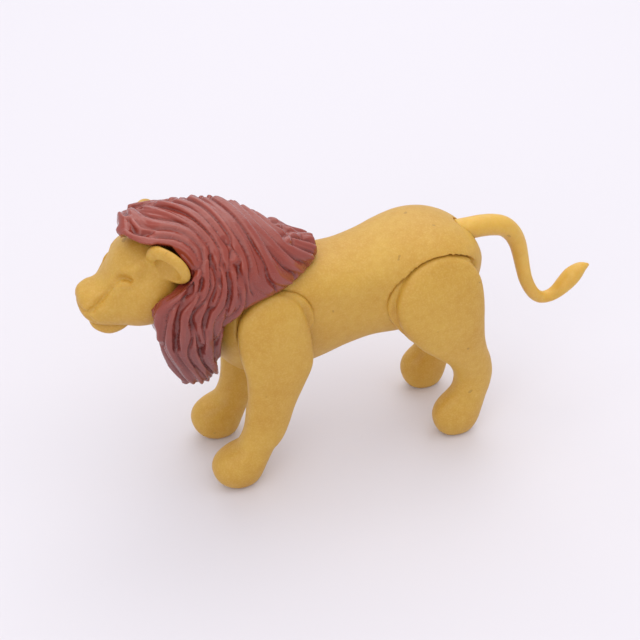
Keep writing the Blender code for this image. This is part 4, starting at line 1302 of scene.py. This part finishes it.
@dataclass
class Mane:
    """Hood of soft plastic with two side lobes, and locks of hair swept over both."""

    head: Head
    torso: Torso
    lobe_power: float = 2.2
    lobe_rows: int = 44
    lobe_count: int = 56
    nod: float = 10.0
    swing_gap: float = 0.5 * MM
    ear_reach: float = 9 * MM
    torso_rows: int = 40
    rough_grain: float = 0.32 * MM
    grain: float = 0.27 * MM
    lock_radius: float = 1.65 * MM
    lock_rise: float = 0.85 * MM
    lock_overhang: float = 0.5 * MM
    lock_points: int = 24
    lock_least: int = 3
    lock_count: int = 16
    # A lock's thickness as a share of its own, at its end and gained along its length
    root_taper: tuple[float, float] = (0.45, 2.6)
    tip_taper: tuple[float, float] = (0.30, 3.0)
    thickness_shares: tuple[float, ...] = (1.0, 0.80, 0.92, 0.66)
    parting: float = 0.42
    parting_end: float = 0.80
    hair_width: float = 1.05 * MM
    hair_depth: float = 0.07 * MM
    hair_reach: float = 1.5 * MM
    hair_fade: float = 0.45 * MM
    hair_shift: float = 0.17 * MM
    trough_width: float = 0.48 * MM
    trough_depth: float = 0.62 * MM
    trough_reach: float = 2.6 * MM
    trough_fade: float = 0.6 * MM
    # Least strength of the troughs beside a lock, what is added at most, and its step from lock to lock
    strengths: tuple[float, float, float] = (0.30, 0.70, 0.618)
    line_step: float = 0.5 * MM
    # How far the locks' borders wander along the lion, the length of a wave, its course and its direction
    wander: float = 0.50 * MM
    wander_length: float = 11.0 * MM
    wander_course: tuple[float, float, float] = (0.0, 0.65, 1.0)
    wander_push: tuple[float, float, float] = (0.0, 1.0, 0.3)
    # Where the relief fades over the forehead, over what length and to what share
    calm_reach: float = 2.4 * MM
    calm_length: float = 1.0 * MM
    calm_share: float = 0.1
    # Depth of a full pit, which sets the strength of the mane's painted shade and painted highlights
    pit_depth: float = 0.30 * MM
    pit_rounds: int = 10
    # Blunt roll of hair over the forehead, and its half sizes
    curl: Vector = field(default_factory=lambda: Vector((-1.0, -44.9, 63.3)) * MM)
    curl_half: tuple[float, float, float] = (4.4 * MM, 2.3 * MM, 2.1 * MM)
    # The mane's front edge in (y, z), where it is 8 mm out, and how it runs on along the sight line
    edge_x: float = 8.0 * MM
    edge_lean: tuple[float, float] = (-0.364, 0.773)
    edge: Rows = (
        (-70.0, 67.2), (-48.9, 67.2), (-47.8, 65.9), (-45.5, 64.2), (-43.4, 63.3), (-41.7, 63.0),
        (-39.5, 62.1), (-38.2, 59.9), (-37.2, 56.8), (-38.3, 54.1), (-40.3, 51.8), (-43.3, 50.4),
        (-44.6, 49.1), (-44.4, 47.3), (-43.7, 43.8), (-43.8, 42.1), (-43.3, 38.5), (-42.2, 34.6),
        (-40.0, 30.7), (-38.0, 15.0), (-70.0, 15.0),
    )
    # Sharp creases between locks on the left side, in millimetres: width, depth and route
    crease_points: int = 8
    creases: Strokes = (
        (0.55, 0.85, ((0.9, -45.8, 65.4), (3.6, -45.6, 64.6), (4.9, -44.6, 64.0), (4.9, -42.6, 63.9))),
        (0.50, 0.75, ((10.4, -33.1, 59.6), (11.9, -32.4, 55.3), (12.4, -34.1, 50.8), (12.4, -35.4, 45.9))),
        (0.55, 0.70, ((11.0, -28.5, 57.4), (11.8, -27.1, 54.0), (12.1, -27.0, 50.5), (11.1, -28.2, 46.3))),
        (0.50, 0.75, ((11.0, -30.7, 57.9), (12.1, -30.0, 53.9), (12.4, -30.7, 49.0), (10.9, -32.4, 42.0),
                      (10.3, -34.0, 36.3))),
        (0.50, 0.80, ((11.8, -37.2, 55.4), (11.5, -38.7, 52.4), (11.8, -40.3, 49.8), (11.6, -40.9, 45.6),
                      (11.3, -40.8, 41.0))),
        (0.50, 0.75, ((11.8, -35.4, 55.9), (12.2, -36.1, 52.3), (12.4, -37.8, 48.6), (12.3, -37.2, 44.2),
                      (11.5, -36.4, 38.8))),
    )

    def lobe(self) -> list[Ring]:
        """Work out the left side lobe.

        Returns:
            Its rings, top first.
        """
        return [level_ring(HOOD.base + height * HOOD.height, HOOD.front + front * HOOD.length,
                           HOOD.front + back * HOOD.length, inner * HOOD.width / 2,
                           outer * HOOD.width / 2, self.lobe_power, self.lobe_count)
                for height, front, back, inner, outer in resample(LOBE_SHARES, self.lobe_rows)]

    def smooth(self) -> Clay:
        """Make the hood and the lobes without their locks.

        Returns:
            The mane's clay.
        """
        clay = Clay().loft(HOOD.rings())
        for side in Side:
            clay.loft(on_side(side, self.lobe()))
        return clay

    def face_opening(self, side: Side) -> Clay:
        """Make the prism in front of one half of the mane's edge.

        Args:
            side: the side of that half.

        Returns:
            The prism, which follows the sight line on that half.
        """
        rings = []
        for x in (-GAP, HOOD.width):
            lean_y, lean_z = ((x - self.edge_x) * lean for lean in self.edge_lean)
            rings.append([Vector((side.value * x, y * MM + lean_y, z * MM + lean_z)) for y, z in self.edge])
        return Clay().loft(rings)

    def ear_room(self, side: Side) -> list[Clay]:
        """Make the round room that an ear stands in and the hollow for its back.

        Args:
            side: the side that the ear is on.

        Returns:
            Both cutters.
        """
        ear = self.head.ear
        matrix = ear.matrix(side)
        hollow = Matrix.Diagonal((ear.radius, ear.thickness / 2 + GAP, ear.radius, 1.0))
        back, front = (matrix @ Vector((0, y, 0)) for y in (ear.rim + GAP, -self.ear_reach))
        return [cylinder(back, front, ear.radius + GAP, count=48), Clay().ball(matrix @ hollow)]

    def leg_room(self, side: Side) -> Clay:
        """Make the room over the top of a front leg.

        Args:
            side: the side that the leg is on.

        Returns:
            The cutter.
        """
        axle, radius, _, _ = self.torso.pockets[0]
        ends = [axle + Vector((side.value * x, 0, 0)) for x in (self.torso.flank_floor, HOOD.width)]
        return cylinder(*ends, radius + self.swing_gap, count=RIM_COUNT)

    def torso_room(self, degrees: float) -> Clay:
        """Make the torso with its clearance, turned back about the neck pin.

        Args:
            degrees: how far it is turned.

        Returns:
            The cutter.
        """
        turn = (Matrix.Translation(NECK_PIN) @ Matrix.Rotation(math.radians(-degrees), 4, "X")
                @ Matrix.Translation(-NECK_PIN))
        rings = TORSO.rings(self.swing_gap, rows=self.torso_rows)
        return Clay().loft([[turn @ point for point in ring] for ring in rings])

    def kept(self, route: Rows, side: Side) -> Rows:
        """Keep the part of a route that a side has; the right side's starts past the parting.

        Args:
            route: the whole route, in shares of the mane's size.
            side: the side.

        Returns:
            The rows that are kept.
        """
        if side is Side.LEFT:
            return route
        return tuple(row for row in route if row[0] >= self.parting or row[1] >= self.parting_end)

    def lock(self, clay: Clay, skin: BVHTree, route: Rows, share: float, side: Side) -> np.ndarray:
        """Add one lock to the clay.

        Args:
            clay: the mane in the making.
            skin: the smooth skin that the lock lies in.
            route: where it runs, in shares of the mane's size.
            share: its thickness as a share of a full lock's.
            side: the side that it is on.

        Returns:
            The points along its middle.
        """
        spots = []
        for across, along, height in route:
            spots.append(skin.find_nearest(Vector((
                side.value * across * HOOD.width / 2, HOOD.front + along * HOOD.length,
                HOOD.base + height * HOOD.height)))[:2])
        middles, rings, last = [place for place, _ in spots], [], len(spots) - 1
        for index, (place, outward) in enumerate(spots):
            ahead = heading(middles, index)
            across = ahead.cross(outward).normalized()
            part = index / last
            taper = min(1.0, self.root_taper[0] + self.root_taper[1] * part,
                        self.tip_taper[0] + self.tip_taper[1] * (1.0 - part))
            thick = share * self.lock_radius * taper
            middle = place - outward * (thick - share * self.lock_rise)
            if index == last:
                middle += ahead * self.lock_overhang
            rings.append(round_ring(middle, across, outward, thick, self.lock_count))
        clay.loft(rings)
        return np.array([tuple(place) for place in middles])

    def crease(self, hand: Sculptor) -> None:
        """Press the sharp creases, each laid on the skin first.

        Args:
            hand: the sculptor that holds the mane.
        """
        faces = [tuple(face.vertices) for face in hand.mesh.polygons]
        for width, depth, route in self.creases:
            skin = BVHTree.FromPolygons(hand.points.tolist(), faces)
            curve = wave(np.array(route), self.crease_points * len(route)) * MM
            hand.press([skin.find_nearest(Vector(point))[0] / MM for point in curve], width * MM, depth * MM)

    def relief(self, hand: Sculptor, lines: list[np.ndarray]) -> np.ndarray:
        """Work out the troughs between neighbouring locks and the fine hairs along each lock.

        Args:
            hand: the sculptor that holds the mane.
            lines: the middles of its locks.

        Returns:
            How far each point is to move outwards.
        """
        count = len(hand.points)
        nearest, second = np.full(count, np.inf), np.full(count, np.inf)
        aside, strength = np.zeros(count), np.ones(count)
        least, gain, stride = self.strengths
        waves = hand.points @ np.array(self.wander_course) / self.wander_length
        bent = hand.points + self.wander * np.sin(math.tau * waves)[:, None] * np.array(self.wander_push)
        for number, line in enumerate(lines):
            line = dense(line, self.line_step)
            own, shift = np.full(count, np.inf), np.zeros(count)
            for place, course in zip(line, np.gradient(line, axis=0)):
                gap = bent - place
                far = np.sqrt((gap ** 2).sum(axis=1))
                closer = far < own
                own = np.where(closer, far, own)
                across = np.cross(hand.normals[closer], course / np.linalg.norm(course))
                shift[closer] = (gap[closer] * across).sum(axis=1) + self.hair_shift * number
            second = np.minimum(second, np.maximum(own, nearest))
            aside = np.where(own < nearest, shift, aside)
            strength = np.where(own < nearest, least + gain * (stride * number % 1.0), strength)
            nearest = np.minimum(nearest, own)
        hairs = np.clip((self.hair_reach - nearest) / self.hair_fade, 0.0, 1.0)
        trough = strength * np.exp(-((second - nearest) / self.trough_width) ** 2)
        trough *= np.clip((self.trough_reach - nearest) / self.trough_fade, 0.0, 1.0)
        ripple = self.hair_depth * hairs * np.cos(math.tau * aside / self.hair_width)
        calm = np.clip((hand.points[:, 1] - HOOD.front - self.calm_reach) / self.calm_length,
                       self.calm_share, 1.0)
        return (ripple - self.trough_depth * trough) * calm

    def comb(self, piece: bpy.types.Object, lines: list[np.ndarray]) -> None:
        """Press the creases and the relief of the locks, then note how deep each point lies.

        Args:
            piece: the mane.
            lines: the middles of its locks.
        """
        hand = Sculptor(piece)
        self.crease(hand)
        hand.points += hand.normals * self.relief(hand, lines)[:, None]
        hand.refresh()
        sharp, normals = hand.points.copy(), hand.normals.copy()
        hand.ease(self.pit_rounds)
        sunk = ((hand.points - sharp) * normals).sum(axis=1)
        hand.points = sharp
        hand.refresh()
        # This layer drives the painted shade in the troughs and the painted highlights on the ridges
        layer = piece.data.attributes.new("pit", "FLOAT", "POINT")
        layer.data.foreach_set("value", np.clip(sunk / self.pit_depth, -1.0, 1.0))

    def build(self, wardrobe: Wardrobe) -> None:
        """Model the mane.

        Args:
            wardrobe: what dresses the finished pieces.
        """
        clay = self.smooth()
        skin = BVHTree.FromBMesh(self.smooth().bm)
        lines = []
        for side in Side:
            for number, shares in enumerate(LOCK_SHARES):
                route = self.kept(tuple(resample(shares, self.lock_points)), side)
                share = self.thickness_shares[number % len(self.thickness_shares)]
                if len(route) > self.lock_least:
                    lines.append(self.lock(clay, skin, route, share, side))
        clay.ball(Matrix.Translation(self.curl) @ Matrix.Diagonal((*self.curl_half, 1.0)))
        mane = clay.finish("combed_mane")
        reskin(mane, self.rough_grain, rounds=2)
        for side in Side:
            carve(mane, [self.face_opening(side)])
        for degrees in (0.0, self.nod / 2, self.nod):
            carve(mane, [self.torso_room(degrees)])
        carve(mane, [Clay().loft(HEAD.rings(GAP))])
        carve(mane, [tool for side in Side for tool in (*self.ear_room(side), self.leg_room(side))])
        reskin(mane, self.grain, rounds=2)
        self.comb(mane, lines)
        wardrobe.enrol(mane, Slot.MANE, "head", "mane")


@dataclass
class Studio:
    """Pale floor, soft lamps and the camera."""

    aim: Vector = field(default_factory=lambda: Vector((0, 0, 0.03)))
    camera_place: Vector = field(default_factory=lambda: Vector((192.98, -77.82, 181.16)) * MM)
    azimuth: float = 70.0
    elevation: float = 36.0
    lens: float = 67.5
    floor_tone: Tone = (0.745, 0.722, 0.755, 1.0)
    floor_size: float = 3.0
    air_tone: Tone = (0.93, 0.93, 1.0, 1.0)
    air_strength: float = 0.80
    # Each lamp's name, place and size in metres, power in watts and tone
    lamps: tuple[tuple[str, tuple[float, float, float], float, float, tuple[float, float, float]], ...] = (
        ("top_panel", (0.05, 0.02, 0.75), 0.9, 2.4, (1.0, 0.985, 0.96)),
        ("back_panel", (-0.55, 0.20, 0.62), 0.8, 1.9, (1.0, 0.985, 0.97)),
        ("side_panel", (0.55, -0.45, 0.45), 0.6, 1.2, (1.0, 0.97, 0.93)),
    )

    def build(self) -> None:
        """Set the stage."""
        scene = bpy.context.scene
        scene.view_settings.view_transform = "Standard"
        self.place_camera(scene)
        self.lay_floor()
        world = bpy.data.worlds.new("studio_air")
        scene.world = world
        world.use_nodes = True
        air = world.node_tree.nodes["Background"]
        air.inputs["Color"].default_value = self.air_tone
        air.inputs["Strength"].default_value = self.air_strength
        for name, place, size, power, tone in self.lamps:
            self.lamp(name, Vector(place), size, power, tone)

    def lamp(self, name: str, place: Vector, size: float, power: float,
             tone: tuple[float, float, float]) -> None:
        """Add a soft square lamp that faces the lion.

        Args:
            name: its name.
            place: its middle.
            size: the length of its sides.
            power: its power in watts.
            tone: the colour of its light.
        """
        data = bpy.data.lights.new(name, "AREA")
        data.energy = power
        data.size = size
        data.color = tone
        lamp = bpy.data.objects.new(name, data)
        lamp.location = place
        lamp.rotation_euler = (place - self.aim).to_track_quat("Z", "Y").to_euler()
        bpy.context.scene.collection.objects.link(lamp)

    def place_camera(self, scene: bpy.types.Scene) -> None:
        """Put the camera at the photograph's place.

        Args:
            scene: the scene that it belongs to.
        """
        around, up = math.radians(self.azimuth), math.radians(self.elevation)
        back = Vector((math.sin(around) * math.cos(up), -math.cos(around) * math.cos(up), math.sin(up)))
        right = Vector((math.cos(around), math.sin(around), 0.0))
        turn = Matrix((right, back.cross(right), back)).transposed()
        data = bpy.data.cameras.new("studio_camera")
        data.lens = self.lens
        data.clip_start = 0.01
        camera = bpy.data.objects.new("studio_camera", data)
        camera.matrix_world = Matrix.Translation(self.camera_place) @ turn.to_4x4()
        scene.collection.objects.link(camera)
        scene.camera = camera

    def lay_floor(self) -> None:
        """Lay a plain pale floor."""
        bm = bmesh.new()
        bmesh.ops.create_grid(bm, x_segments=1, y_segments=1, size=self.floor_size)
        mesh = bpy.data.meshes.new("floor")
        bm.to_mesh(mesh)
        bm.free()
        floor = bpy.data.objects.new("floor", mesh)
        bpy.context.scene.collection.objects.link(floor)
        graph = Graph("pale_floor")
        mesh.materials.append(graph.join(Base_Color=self.floor_tone, Roughness=0.9,
                                         Specular_IOR_Level=0.2))


def main() -> None:
    """Build the lion piece by piece."""
    logging.basicConfig(level=logging.INFO, format="%(name)s %(message)s")
    wardrobe = Wardrobe()
    torso = Torso()
    torso.build(wardrobe)
    LegPair("front", FRONT_AXLE, FRONT_LEG_SHARES, SHOULDER_RADIUS, paw=12.2 * MM, bulge=13.8 * MM,
            plate_reach=(6.3 * MM, 8.7 * MM), body="front_legs").build(wardrobe)
    LegPair("rear", REAR_AXLE, REAR_LEG_SHARES, HAUNCH_RADIUS, paw=12.0 * MM, bulge=14.4 * MM,
            plate_reach=(11.2 * MM, 7.0 * MM), body="rear_legs").build(wardrobe)
    Tail().build(wardrobe)
    head = Head()
    head.build(wardrobe)
    Mane(head, torso).build(wardrobe)
    wardrobe.repaint("neck", Slot.YELLOW)
    for node in ("neck_pin", "front_axle", "rear_axle"):
        wardrobe.repaint(node, Slot.INNER)
    Studio().build()


if __name__ == "__main__":
    main()
